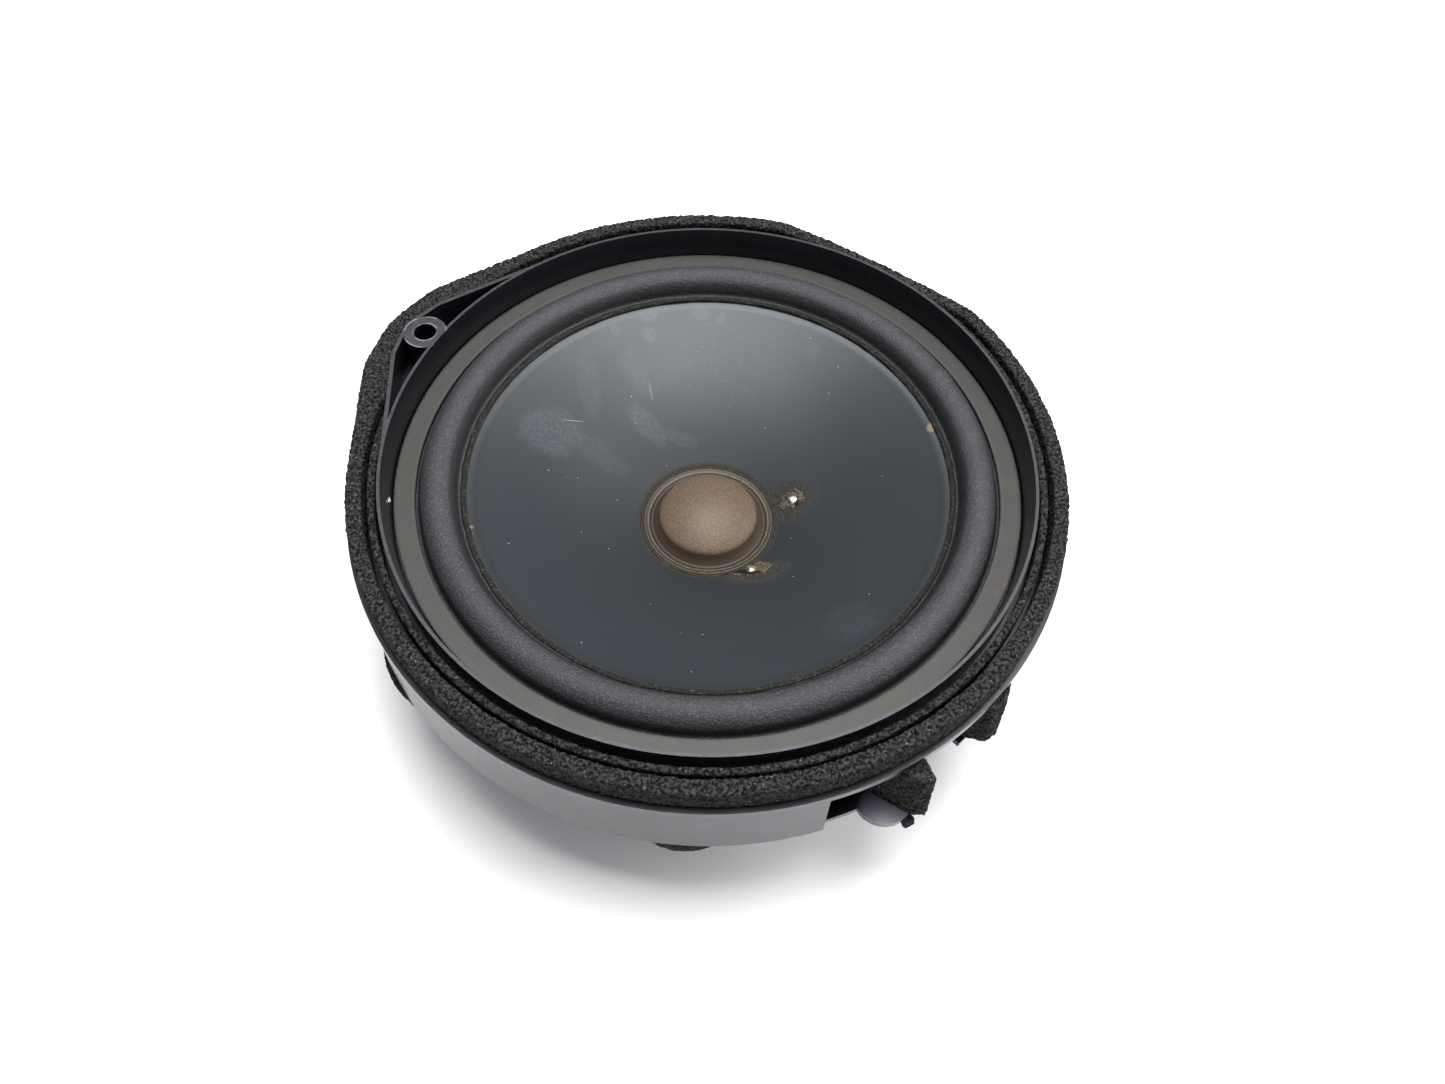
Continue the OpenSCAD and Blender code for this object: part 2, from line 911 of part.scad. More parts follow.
module foam_block_a() {
  foam_block(skewed);
}

module foam_block_b() {
  foam_block(rounded);
}

module foam_block_c() {
  foam_block(plain(mirrored(322.8), mirrored(313.6)));
}

module foam_block_d() {
  foam_block(plain(mirrored(304.3), mirrored(297.4)));
}

// Small end of foam that hangs under the tongue
module foam_tongue_pad() {
  color([0.13, 0.12, 0.11])
    sector(299.3, 300.9, [
      [82, skirt_z - 1.6],
      [94.8, skirt_z - 3],
      [95.6, skirt_z - 2.2],
      [95, skirt_z - gap],
      [82, skirt_z - gap]
    ]);
}

// Strip under the skirt's return, one on each side of the screw boss. It swells
// out in places; a swell is [outer reach, plan angle, radius of its round end].
module rear_foam(a0, a1, swells) {
  low = skirt_z - gap - rear_foam_t;
  in_r = return_r + 1.5;
  color([0.13, 0.12, 0.11])
    union() {
      sector(a0, a1, band(in_r, skirt_r - 1.8, low, skirt_z - gap));
      for (q = swells)
        intersection() {
          sector(a0, a1, band(in_r, skirt_r + 2, low, skirt_z - gap));
          translate([0, 0, low])
            rotate([0, 0, q[1]])
              translate([q[0] - q[2], 0])
                cylinder(h = rear_foam_t, r = q[2]);
        }
    }
}

module rear_foam_left() {
  rear_foam(tab_a + 7, 284.5, [[89.4, 267.5, 15], [90.3, 213.5, 22]]);
}

module rear_foam_right() {
  rear_foam(mirrored(284.5), tab_a - 7, [[89.4, mirrored(267.5), 15], [90.3, mirrored(213.5), 22]]);
}

collar();
screw_tab();
skirt_left();
skirt_right();
basket_floor();
basket_struts();
socket_wall();
carrier_ribs();
tongue_shelves();
clamp_ring();
surround();
surround_glue();
cone();
dust_cap();
cap_glue();
coil_former();
coil_winding();
neck_glue();
spider();
lead_eyelets();
lead_glue();
tinsel_lead_a();
tinsel_lead_b();
socket_housing();
socket_blades();
top_plate();
plate_rivets();
magnet();
back_plate();
gasket_outer();
gasket_inner();
foam_block_a();
foam_block_b();
foam_block_c();
foam_block_d();
foam_tongue_pad();
rear_foam_left();
rear_foam_right();
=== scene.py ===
"""Looks of the round car door loudspeaker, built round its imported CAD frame.

Lengths in the tables are millimetres; MM turns them into metres. Plan angles
are degrees, anticlockwise from +X. +Z is the side that faces the listener.
"""
import json
import math
import random

import bmesh
import bpy
import numpy as np
from mathutils import Matrix, Vector, noise


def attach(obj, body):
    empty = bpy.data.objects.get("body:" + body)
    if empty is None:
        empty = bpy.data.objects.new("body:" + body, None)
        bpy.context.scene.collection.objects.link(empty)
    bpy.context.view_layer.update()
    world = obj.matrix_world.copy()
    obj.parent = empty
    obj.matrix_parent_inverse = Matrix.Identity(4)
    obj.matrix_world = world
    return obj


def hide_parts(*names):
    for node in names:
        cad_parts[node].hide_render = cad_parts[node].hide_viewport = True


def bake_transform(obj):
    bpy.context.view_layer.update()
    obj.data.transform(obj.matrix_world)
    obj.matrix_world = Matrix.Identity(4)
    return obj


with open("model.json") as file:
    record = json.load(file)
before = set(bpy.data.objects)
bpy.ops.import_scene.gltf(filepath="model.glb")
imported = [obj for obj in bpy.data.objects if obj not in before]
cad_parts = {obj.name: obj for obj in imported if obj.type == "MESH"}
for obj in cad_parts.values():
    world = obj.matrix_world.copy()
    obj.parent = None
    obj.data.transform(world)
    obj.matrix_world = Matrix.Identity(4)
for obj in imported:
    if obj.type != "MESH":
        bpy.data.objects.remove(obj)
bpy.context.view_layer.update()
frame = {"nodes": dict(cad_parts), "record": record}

MM = 0.001
FIXED = "frame_body"
MOVING = "cone_body"
NODES = frame["nodes"]

# Heights and radii that the pieces share with the CAD part
RING_Z = 56.0
RIM_Z = 63.9 * MM
FOOT_TOP = 54.75
NECK_R = 12.95
CONE_EDGE_R = 60.4
CONE_EDGE_Z = 54.0
NECK_Z = 31.0
CONE_SLOPE = (CONE_EDGE_Z - NECK_Z) / (CONE_EDGE_R - NECK_R)
CONE_TILT = math.atan(CONE_SLOPE)
EYELETS = ((22.9, 14.0), (19.5, 306.0))
TAB_A = 154.6
SECTOR_A = TAB_A + 180
TONGUE_A = 298.4
HOLE = (83.8 * math.cos(math.radians(TAB_A)), 83.8 * math.sin(math.radians(TAB_A)))


def cone_top(r):
    """Height of the cone's upper face at a radius."""
    return NECK_Z + CONE_SLOPE * (r - NECK_R)


def add_object(name, data):
    """A new object in the scene for a mesh, a light or a camera."""
    obj = bpy.data.objects.new(name, data)
    bpy.context.scene.collection.objects.link(obj)
    return obj


# ---------------------------------------------------------------- camera

def make_camera():
    """A viewpoint in front of the loudspeaker, nearly 53 degrees above the table."""
    elevation, distance, target_z = 0.9177, 0.27288, 0.056
    yaw, pitch, roll = -0.0138, -0.0675, -0.031
    look = Vector((0, math.cos(elevation), -math.sin(elevation)))
    right = Vector((1, 0, 0))
    up = right.cross(look)
    place = -distance * look + Vector((0, 0, target_z))
    for axis_of, angle in (("up", yaw), ("right", pitch), ("look", roll)):
        axis = {"up": up, "right": right, "look": look}[axis_of].copy()
        turn = Matrix.Rotation(angle, 3, axis)
        look, right, up = turn @ look, turn @ right, turn @ up
    camera = add_object("camera", bpy.data.cameras.new("camera"))
    camera.data.lens = 27.03
    camera.data.sensor_width = 36.0
    camera.data.sensor_fit = "HORIZONTAL"
    camera.data.clip_start = 0.005
    camera.data.clip_end = 50.0
    basis = Matrix((right, up, -look)).transposed().to_4x4()
    camera.matrix_world = Matrix.Translation(place) @ basis
    bpy.context.scene.camera = camera


make_camera()


# ---------------------------------------------------------------- mesh tools

def new_object(name, verts, faces, smooth=True):
    """A mesh object from points in metres, with normals turned outwards."""
    mesh = bpy.data.meshes.new(name)
    mesh.from_pydata([tuple(v) for v in verts], [], [tuple(f) for f in faces])
    bm = bmesh.new()
    bm.from_mesh(mesh)
    bmesh.ops.recalc_face_normals(bm, faces=bm.faces)
    bm.to_mesh(mesh)
    bm.free()
    if smooth:
        mesh.polygons.foreach_set("use_smooth", [True] * len(mesh.polygons))
    return add_object(name, mesh)


def points_of(obj):
    """The mesh's points as rows of an array."""
    co = np.empty(len(obj.data.vertices) * 3, np.float32)
    obj.data.vertices.foreach_get("co", co)
    return co.reshape(-1, 3).astype(float)


def normals_of(obj):
    """The normal at each of the mesh's points."""
    co = np.empty(len(obj.data.vertices) * 3, np.float32)
    obj.data.vertex_normals.foreach_get("vector", co)
    return co.reshape(-1, 3).astype(float)


def set_points(obj, co):
    obj.data.vertices.foreach_set("co", np.asarray(co, np.float32).ravel())
    obj.data.update()


def smooth_noise(co, scale, seed, detail=2):
    """Soft noise from about -1 to 1; scale is its bumps' size in metres."""
    shift = Vector((seed * 7.31, seed * 3.17, seed * 5.73))
    return np.array([
        noise.fractal(Vector(p) / scale + shift, 1.0, 2.0, detail) for p in co
    ])


def pore_noise(co, scale, seed):
    """Cells: 0 at a cell's middle, near 1 on the walls between cells."""
    shift = Vector((seed * 4.7, seed * 9.1, seed * 2.3))
    out = np.empty(len(co))
    for i, p in enumerate(co):
        near = noise.voronoi(Vector(p) / scale + shift)[0]
        out[i] = near[0] / max(near[1], 1e-6)
    return out


def lathe(name, outline, turns, wobble=None):
    """Turns a closed outline of (radius, height) in millimetres round Z.
    wobble(angle, radius, height) returns what to add to radius and height."""
    ring = len(outline)
    verts, faces = [], []
    for i in range(turns):
        a = 2 * math.pi * i / turns
        for r, z in outline:
            dr, dz = wobble(a, r, z) if wobble else (0, 0)
            verts.append(((r + dr) * math.cos(a) * MM, (r + dr) * math.sin(a) * MM, (z + dz) * MM))
        for j in range(ring):
            k, n = (j + 1) % ring, ((i + 1) % turns) * ring
            faces.append((i * ring + j, i * ring + k, n + k, n + j))
    return new_object(name, verts, faces)


def capped_lathe(name, line, turns, wobble):
    """Turns an open line that starts and ends on the axis; the ends become points."""
    verts = [(0, 0, line[0][1] * MM)]
    faces = []
    inner = line[1:-1]
    ring = len(inner)
    for i in range(turns):
        a = 2 * math.pi * i / turns
        for r, z in inner:
            dr, dz = wobble(a, r, z)
            verts.append(((r + dr) * math.cos(a) * MM, (r + dr) * math.sin(a) * MM, (z + dz) * MM))
    verts.append((0, 0, line[-1][1] * MM))
    last = len(verts) - 1
    for i in range(turns):
        here, there = 1 + i * ring, 1 + ((i + 1) % turns) * ring
        faces.append((0, here, there))
        for j in range(ring - 1):
            faces.append((here + j, here + j + 1, there + j + 1, there + j))
        faces.append((here + ring - 1, last, there + ring - 1))
    return new_object(name, verts, faces)


def wave(a, seed, orders=(2, 3, 5)):
    """A smooth closed wobble round the circle, about -1 to 1."""
    rng = random.Random(seed)
    return sum(math.sin(n * a + rng.uniform(0, 6.28)) / len(orders) for n in orders)


# ---------------------------------------------------------------- materials

def linear(r, g, b):
    """Display colour, 0 to 255, as linear values."""
    def one(v):
        v /= 255
        return v / 12.92 if v <= 0.04045 else ((v + 0.055) / 1.055) ** 2.4
    return (one(r), one(g), one(b), 1.0)


class Shader:
    """A node material; every texture runs on object coordinates in metres."""

    def __init__(self, name, roughness, metallic=0.0, specular=0.5, tint=(1.0, 1.0, 1.0)):
        self.mat = bpy.data.materials.new(name)
        self.mat.use_nodes = True
        self.tree = self.mat.node_tree
        self.bsdf = self.tree.nodes["Principled BSDF"]
        self.coords = self.tree.nodes.new("ShaderNodeTexCoord").outputs["Object"]
        self.bsdf.inputs["Roughness"].default_value = roughness
        self.bsdf.inputs["Metallic"].default_value = metallic
        self.bsdf.inputs["Specular IOR Level"].default_value = specular
        self.bsdf.inputs["Specular Tint"].default_value = (*tint, 1.0)

    def node(self, kind, links=(), values=(), **props):
        made = self.tree.nodes.new(kind)
        for key, value in props.items():
            setattr(made, key, value)
        for key, value in dict(values).items():
            made.inputs[key].default_value = value
        for key, source in dict(links).items():
            self.tree.links.new(source, made.inputs[key])
        return made

    def noise(self, size, detail=3.0, rough=0.55):
        """Noise whose bumps are about size millimetres across."""
        made = self.node(
            "ShaderNodeTexNoise", {"Vector": self.coords},
            {"Scale": 1 / (size * MM), "Detail": detail, "Roughness": rough})
        return made.outputs["Fac"]

    def cells(self, size, randomness=1.0, output="Distance"):
        """Cells about size millimetres across."""
        made = self.node(
            "ShaderNodeTexVoronoi", {"Vector": self.coords},
            {"Scale": 1 / (size * MM), "Randomness": randomness})
        return made.outputs[output]

    def calc(self, operation, a, b=None, clamp=False):
        made = self.tree.nodes.new("ShaderNodeMath")
        made.operation = operation
        made.use_clamp = clamp
        for i, value in enumerate((a, b)):
            if value is None:
                continue
            if isinstance(value, (int, float)):
                made.inputs[i].default_value = value
            else:
                self.tree.links.new(value, made.inputs[i])
        return made.outputs[0]

    def ramp(self, fac, low, high):
        """0 below low, 1 above high, smooth between."""
        made = self.node("ShaderNodeMapRange", {"Value": fac},
                         {"From Min": low, "From Max": high}, interpolation_type="SMOOTHSTEP")
        return made.outputs[0]

    def mix(self, fac, a, b):
        """Colour a where fac is 0 and b where it is 1."""
        made = self.tree.nodes.new("ShaderNodeMix")
        made.data_type = "RGBA"
        slots = {0: fac, 6: a, 7: b}
        for i, value in slots.items():
            if isinstance(value, (int, float, tuple)):
                made.inputs[i].default_value = value
            else:
                self.tree.links.new(value, made.inputs[i])
        return made.outputs[2]

    def xyz(self):
        return self.node("ShaderNodeSeparateXYZ", {"Vector": self.coords}).outputs

    def radius(self):
        """Distance from the Z axis in millimetres."""
        x, y, _ = self.xyz()
        squares = self.calc("ADD", self.calc("MULTIPLY", x, x), self.calc("MULTIPLY", y, y))
        return self.calc("MULTIPLY", self.calc("SQRT", squares), 1000.0)

    def near(self, x, y, z):
        """Distance in millimetres from a point given in millimetres."""
        made = self.node("ShaderNodeVectorMath", {0: self.coords}, operation="DISTANCE")
        made.inputs[1].default_value = (x * MM, y * MM, z * MM)
        return self.calc("MULTIPLY", made.outputs["Value"], 1000.0)

    def product(self, first, *others):
        for other in others:
            first = self.calc("MULTIPLY", first, other)
        return first

    def band(self, value, centre, half):
        """1 at the centre value, 0 beyond half either side of it."""
        away = self.calc("ABSOLUTE", self.calc("SUBTRACT", value, centre))
        return self.ramp(away, half, half * 0.35)

    def blot(self, x, y, half_x, half_y, turn, edge=0.3, ragged=0.25):
        """An oval in plan, in millimetres and degrees, with a soft uneven edge."""
        local = self.node(
            "ShaderNodeMapping", {"Vector": self.coords},
            {"Location": (x * MM, y * MM, 0), "Rotation": (0, 0, math.radians(turn)),
             "Scale": (half_x * MM, half_y * MM, 1.0)}, vector_type="TEXTURE").outputs[0]
        far = self.node("ShaderNodeVectorMath", {0: local}, operation="LENGTH").outputs["Value"]
        if ragged:
            uneven = self.calc("SUBTRACT", self.noise(3.0, 3), 0.5)
            far = self.calc("ADD", far, self.calc("MULTIPLY", uneven, ragged * 2))
        return self.ramp(far, 1.0 + edge / 2, 1.0 - edge / 2)

    def bumps(self, *layers):
        """Each layer is (height, millimetres of relief); they add up."""
        normal = None
        for height, relief in layers:
            links = {"Height": height}
            if normal is not None:
                links["Normal"] = normal
            made = self.node("ShaderNodeBump", links, {"Distance": relief * MM, "Strength": 1.0})
            normal = made.outputs[0]
        self.tree.links.new(normal, self.bsdf.inputs["Normal"])

    def colour(self, socket):
        self.tree.links.new(socket, self.bsdf.inputs["Base Color"])

    def rough(self, socket):
        self.tree.links.new(socket, self.bsdf.inputs["Roughness"])


# Fluffy fibre caught on the collar's inner face: plan angle, height, radius
FLUFF = ((190.0, 57.4, 0.7), (190.6, 58.1, 0.55), (191.4, 59.3, 0.3))
FLUFF_R = 78.5
# Painted reflection on the ends of the two tongues: distance from the axis, half sizes in plan
REFLECTION_R, REFLECTION_X, REFLECTION_Y = 90.2, 5.6, 7.4
# Radii of the screw hole's edge and of its boss's edge, both painted bright as a highlight
HOLE_EDGE_R, BOSS_EDGE_R = 3.05, 5.45


def moulded_plastic():
    """Glossy black moulding, a little dusty; painted highlights make its rim tops and boss edges grey, and
    a painted reflection lightens its tongues.
    """
    s = Shader("carrier_plastic", 0.3, tint=(0.9, 0.93, 1.0))
    dust = s.product(s.ramp(s.noise(7, 5, 0.62), 0.5, 0.72), s.ramp(s.noise(0.8, 3, 0.7), 0.4, 0.7), 0.1)
    base = s.mix(s.noise(18, 2), linear(11, 12, 15), linear(16, 17, 21))
    base = s.mix(dust, base, linear(70, 66, 60))
    z = s.xyz()[2]
    rim = s.ramp(z, RIM_Z - 0.15 * MM, RIM_Z - 0.03 * MM)
    # Painted highlight: the tops of the rim are painted lighter grey, in patches.
    rim_highlight = s.mix(s.ramp(s.noise(1.6, 4, 0.65), 0.35, 0.7), linear(24, 24, 27), linear(44, 44, 47))
    base = s.mix(s.calc("MULTIPLY", rim, 0.8), base, rim_highlight)
    # Painted highlight: bright rings on the edges of the screw hole and of its boss.
    hole = s.near(HOLE[0], HOLE[1], RIM_Z / MM)
    edge = s.calc("MAXIMUM", s.band(hole, HOLE_EDGE_R, 0.3), s.band(hole, BOSS_EDGE_R, 0.3))
    base = s.mix(s.product(edge, rim, s.ramp(s.noise(3, 2), 0.35, 0.6), 0.8), base, linear(112, 112, 116))
    # Painted reflection: the ends of both tongues are painted light grey-blue.
    tongue_reflection = s.mix(s.noise(4, 3), linear(78, 79, 88), linear(104, 104, 114))
    for angle in (TONGUE_A, 2 * TAB_A - TONGUE_A):
        a = math.radians(angle)
        x, y = REFLECTION_R * math.cos(a), REFLECTION_R * math.sin(a)
        tongue = s.blot(x, y, REFLECTION_X, REFLECTION_Y, angle, 0.35, 0.05)
        low = s.product(s.ramp(z, 36.6 * MM, 36.9 * MM), s.ramp(z, 38.0 * MM, 37.4 * MM))
        base = s.mix(s.product(tongue, low, 0.9), base, tongue_reflection)
    for angle, height, size in FLUFF:
        a = math.radians(angle)
        fluff = s.near(FLUFF_R * math.cos(a), FLUFF_R * math.sin(a), height)
        base = s.mix(s.ramp(fluff, size, size * 0.7), base, linear(232, 214, 206))
    s.colour(base)
    polish = s.calc("ADD", s.calc("MULTIPLY", s.noise(14, 3), 0.08), 0.24)
    dull = s.calc("ADD", s.calc("MULTIPLY", dust, 0.3), s.calc("MULTIPLY", rim, 0.24))
    s.rough(s.calc("ADD", dull, polish))
    s.bumps((s.noise(3.5, 2), 0.006))
    return s.mat


def foam_material():
    """Open-cell foam: nearly black holes, grey grains, a few of them rusty brown."""
    s = Shader("foam", 0.95, specular=0.15)
    lumps = s.noise(0.78, 3, 0.65)
    fine = s.noise(0.34, 2, 0.6)
    wide = s.noise(2.4, 2, 0.5)
    cell = s.cells(0.8)
    lot = s.cells(0.8, output="Color")
    holes = s.ramp(lumps, 0.4, 0.62)
    base = s.mix(holes, linear(6, 6, 6), linear(57, 56, 54))
    deep = s.mix(holes, linear(5, 5, 5), linear(40, 39, 39))
    base = s.mix(s.calc("MULTIPLY", s.ramp(wide, 0.6, 0.42), 0.5), base, deep)
    grain = s.product(s.ramp(cell, 0.36, 0.1), s.ramp(lot, 0.56, 0.8), holes)
    base = s.mix(grain, base, linear(104, 102, 98))
    rust = s.product(s.ramp(s.noise(1.9, 3, 0.6), 0.58, 0.7), s.ramp(lumps, 0.45, 0.6), 0.3)
    s.colour(s.mix(rust, base, linear(66, 44, 34)))
    s.bumps((lumps, 0.4), (fine, 0.14))
    return s.mat


def rubber_material():
    """The roll: grey-black rubber with a leathery grain, dusty at its feet, with painted shade in its
    creases.
    """
    s = Shader("surround_rubber", 0.5, specular=0.42)
    r = s.radius()
    foot = s.calc("ADD", s.ramp(r, 71.9, 72.5), s.ramp(r, 62.4, 61.8), clamp=True)
    dust = s.product(foot, s.ramp(s.noise(0.8, 4, 0.72), 0.48, 0.68), 0.75)
    grain = s.noise(0.5, 3, 0.65)
    base = s.mix(s.noise(14, 3), linear(33, 34, 37), linear(39, 41, 44))
    base = s.mix(s.calc("MULTIPLY", s.ramp(grain, 0.5, 0.62), 0.6), base, linear(67, 69, 73))
    # Painted shade: the roll is painted near black in the creases at both its feet.
    crease_shade = s.calc("MAXIMUM", s.band(r, 63.1, 1.5), s.band(r, 71.7, 0.9))
    base = s.mix(s.calc("MULTIPLY", crease_shade, 0.8), base, linear(9, 9, 10))
    s.colour(s.mix(dust, base, linear(50, 48, 40)))
    sheen = s.calc("ADD", s.calc("MULTIPLY", s.noise(2.5, 3), 0.16), 0.5)
    s.rough(s.calc("ADD", s.calc("MULTIPLY", dust, 0.3), sheen))
    s.bumps((grain, 0.3), (s.noise(1.3, 2), 0.12), (s.noise(5, 2), 0.12))
    return s.mat


# Finger marks and water spots on the cone: plan position, half sizes, turn, strength
SMUDGES = (
    (-42, 17.5, 8, 6.5, 20, 0.11), (-30, 15.5, 9, 3.5, -25, 0.05), (-18, 26.5, 6.5, 3, -40, 0.12),
    (-9, 24.5, 5.5, 1.8, -12, 0.08), (-33.5, 33, 3, 9, 10, 0.06), (-21.5, 40, 3, 6, 30, 0.07),
    (-18.6, 56, 2.5, 2.4, 0, 0.15), (-18, 50.5, 1.8, 1.9, 0, 0.15), (-3.8, 57.6, 2.5, 2, 0, 0.15),
    (1.8, 56.4, 1.3, 1.6, 0, 0.13), (-27.5, 50, 1.4, 1.5, 0, 0.1), (28, 46, 1.8, 2.2, 0, 0.07),
    (34.5, -39.5, 6.8, 5.6, 40, 0.035),
)
# Brown dirt round the lead eyelets: plan position, half sizes, turn, softness
DIRT = ((21.4, 5.6, 6.8, 5.6, 10, 0.9), (12.6, -17.4, 8.2, 3.6, 4, 0.8))
# Hair-fine scratches: plan position, half length, turn
SCRATCHES = ((-17, 35.5, 2.3, 105), (-37, 22.5, 2.6, 12))
# Tan crumbs stuck near the cone's edge: plan position and radius
CRUMBS = ((58.2, 17.4, 1.5), (60.6, 11.5, 0.7), (57.4, 21.5, 0.5), (-57.3, -18.5, 0.45))


def cone_material():
    """Blue-grey plastic cone: satin, with finger marks, dust and brown dirt by the cap."""
    s = Shader("cone_plastic", 0.37, specular=0.36, tint=(0.89, 0.94, 0.98))
    r = s.radius()
    base = s.mix(s.noise(25, 3), linear(33, 36, 40), linear(38, 41, 45))
    # Painted shade: the cone is painted darker towards its neck.
    inner = s.ramp(r, 46, 18)
    base = s.mix(s.calc("MULTIPLY", inner, 0.7), base, linear(22, 24, 26))
    marks = None
    for x, y, half_x, half_y, turn, strength in SMUDGES:
        one = s.calc("MULTIPLY", s.blot(x, y, half_x, half_y, turn, 0.5, 0.4), strength)
        marks = one if marks is None else s.calc("MAXIMUM", marks, one)
    marks = s.product(marks, s.calc("ADD", 0.35, s.ramp(s.noise(0.8, 4, 0.7), 0.38, 0.66)), 0.92)
    base = s.mix(marks, base, linear(118, 122, 128))
    dotted = s.product(s.ramp(s.cells(1.25), 0.2, 0.1), s.ramp(s.cells(1.25, output="Color"), 0.5, 0.75),
                       s.blot(1, 45, 22, 15, 10, 1.2))
    base = s.mix(s.calc("MULTIPLY", dotted, 0.3), base, linear(112, 115, 120))
    specks = s.product(s.ramp(s.cells(3.4), 0.06, 0.03), s.ramp(s.cells(3.4, output="Color"), 0.62, 0.7))
    base = s.mix(specks, base, linear(150, 146, 134))
    for x, y, half, turn in SCRATCHES:
        line = s.calc("MULTIPLY", s.blot(x, y, half, 0.09, turn, 0.8, 0.0), 0.5)
        base = s.mix(line, base, linear(150, 150, 146))
    halo = s.calc("MAXIMUM", s.blot(*DIRT[0]), s.blot(*DIRT[1]))
    neck = s.ramp(r, 19.4, 17.8)
    dirt = s.calc("MAXIMUM", halo, neck)
    base = s.mix(s.calc("MULTIPLY", dirt, 0.6), base, linear(26, 24, 20))
    grit = s.calc("MULTIPLY", s.ramp(s.noise(0.55, 4, 0.75), 0.48, 0.6), 0.8)
    base = s.mix(s.product(dirt, grit), base, linear(66, 58, 46))
    shade = s.ramp(s.calc("ADD", r, s.calc("MULTIPLY", s.noise(5, 3), 1.6)), 58.2, 61.4)
    base = s.mix(s.calc("MULTIPLY", shade, 0.6), base, linear(20, 21, 22))
    rim = s.product(s.ramp(r, 58.6, 60.3), s.ramp(s.noise(0.8, 4, 0.72), 0.56, 0.7), 0.6)
    base = s.mix(rim, base, linear(66, 61, 48))
    base = s.mix(s.band(r, 60.5, 0.3), base, linear(9, 9, 10))
    for x, y, size in CRUMBS:
        base = s.mix(s.blot(x, y, size, size, 0, 0.5, 0.5), base, linear(96, 85, 58))
    s.colour(base)
    rough = s.calc("ADD", 0.37, s.calc("MULTIPLY", inner, 0.22))
    rough = s.calc("ADD", rough, s.calc("MULTIPLY", marks, 0.1))
    s.rough(s.calc("ADD", rough, s.calc("MULTIPLY", dirt, 0.3)))
    s.bumps((s.noise(0.4, 2, 0.6), 0.012), (s.noise(30, 1), 0.12))
    return s.mat


# Brown crumb on the clamp ring: plan position and radius of its two parts
RING_CRUMB = ((71.2, -31.0, 0.9), (70.6, -32.4, 0.6))


def board_material():
    """Grey-brown pressed board of the clamp ring."""
    s = Shader("ring_board", 0.52, specular=0.36)
    grain = s.noise(0.4, 4, 0.7)
    base = s.mix(s.ramp(grain, 0.3, 0.7), linear(33, 33, 32), linear(56, 55, 52))
    warm = s.mix(s.ramp(grain, 0.3, 0.7), linear(38, 37, 33), linear(61, 58, 52))
    base = s.mix(s.ramp(s.noise(6, 4, 0.65), 0.45, 0.7), base, warm)
    for x, y, size in RING_CRUMB:
        base = s.mix(s.blot(x, y, size, size, 0, 0.5, 0.5), base, linear(66, 52, 40))
    r = s.radius()
    edge = s.calc("ADD", s.ramp(r, 76.9, 77.7), s.ramp(r, 73.2, 72.7), clamp=True)
    s.colour(s.mix(s.product(edge, s.ramp(s.noise(2, 3), 0.4, 0.6), 0.7), base, linear(38, 36, 32)))
    s.rough(s.calc("ADD", 0.46, s.calc("MULTIPLY", grain, 0.16)))
    s.bumps((grain, 0.04), (s.noise(3, 2), 0.03))
    return s.mat


def cap_material():
    """Bronze-brown dust cap with a fine cloth grain; dust lines on its lip."""
    s = Shader("cap_cloth", 0.5, specular=0.34, tint=(1.0, 0.9, 0.8))
    grain = s.noise(0.42, 2, 0.6)
    base = s.mix(s.noise(2.2, 4), linear(70, 58, 47), linear(83, 69, 57))
    base = s.mix(s.calc("MULTIPLY", s.ramp(grain, 0.5, 0.62), 0.45), base, linear(112, 96, 80))
    r = s.radius()
    # Painted shade: the cap's steep side is painted darker, and darker still low on the side and in the
    # moat.
    base = s.mix(s.ramp(r, 12.7, 13.2), base, linear(66, 55, 46))
    base = s.mix(s.ramp(r, 13.9, 14.6), base, linear(36, 30, 25))
    grit = s.noise(0.7, 4, 0.7)
    base = s.mix(s.ramp(r, 15.5, 15.8), base, s.mix(grit, linear(20, 18, 15), linear(42, 37, 29)))
    lines = s.calc("MAXIMUM", s.band(r, 16.0, 0.3), s.band(r, 17.1, 0.25))
    base = s.mix(s.product(lines, s.ramp(grit, 0.3, 0.55), 0.8), base, linear(88, 80, 64))
    s.colour(base)
    s.bumps((grain, 0.06), (s.noise(1.0, 3), 0.03))
    return s.mat


# Painted shade in the glue round the lead eyelets, near-black ovals where it leaves gaps: plan position,
# half sizes, turn
LEAD_GAP_SHADE = ((24.2, 3.3, 1.5, 0.8, -50), (10.2, -16.9, 3.4, 0.95, -14))


def glue_material(name, dark, pale, roughness, spread, holes=(), crumb=0.9):
    """Dusty adhesive; the higher the spread, the fewer pale crumbs."""
    s = Shader(name, roughness, specular=0.25)
    base = s.mix(s.ramp(s.noise(crumb, 4, 0.7), spread, spread + 0.2), linear(*dark), linear(*pale))
    base = s.mix(s.product(s.ramp(s.radius(), 19, 18), 0.7), base, linear(44, 39, 31))
    # Painted shade: each listed oval is painted near black.
    for x, y, half_x, half_y, turn in holes:
        base = s.mix(s.blot(x, y, half_x, half_y, turn, 0.4, 0.3), base, linear(6, 5, 4))
    s.colour(base)
    s.bumps((s.noise(0.7, 4, 0.65), 0.18))
    return s.mat


def cloth_material():
    """Resin-stiffened woven spider."""
    s = Shader("spider_cloth", 0.75)
    r = s.radius()
    threads = s.calc("MULTIPLY", s.calc("SINE", s.calc("MULTIPLY", r, 12.0)), 0.5)
    weave = s.calc("ADD", threads, s.cells(0.5, randomness=0.25))
    s.colour(s.mix(weave, linear(150, 112, 58), linear(196, 156, 92)))
    s.bumps((weave, 0.08))
    return s.mat


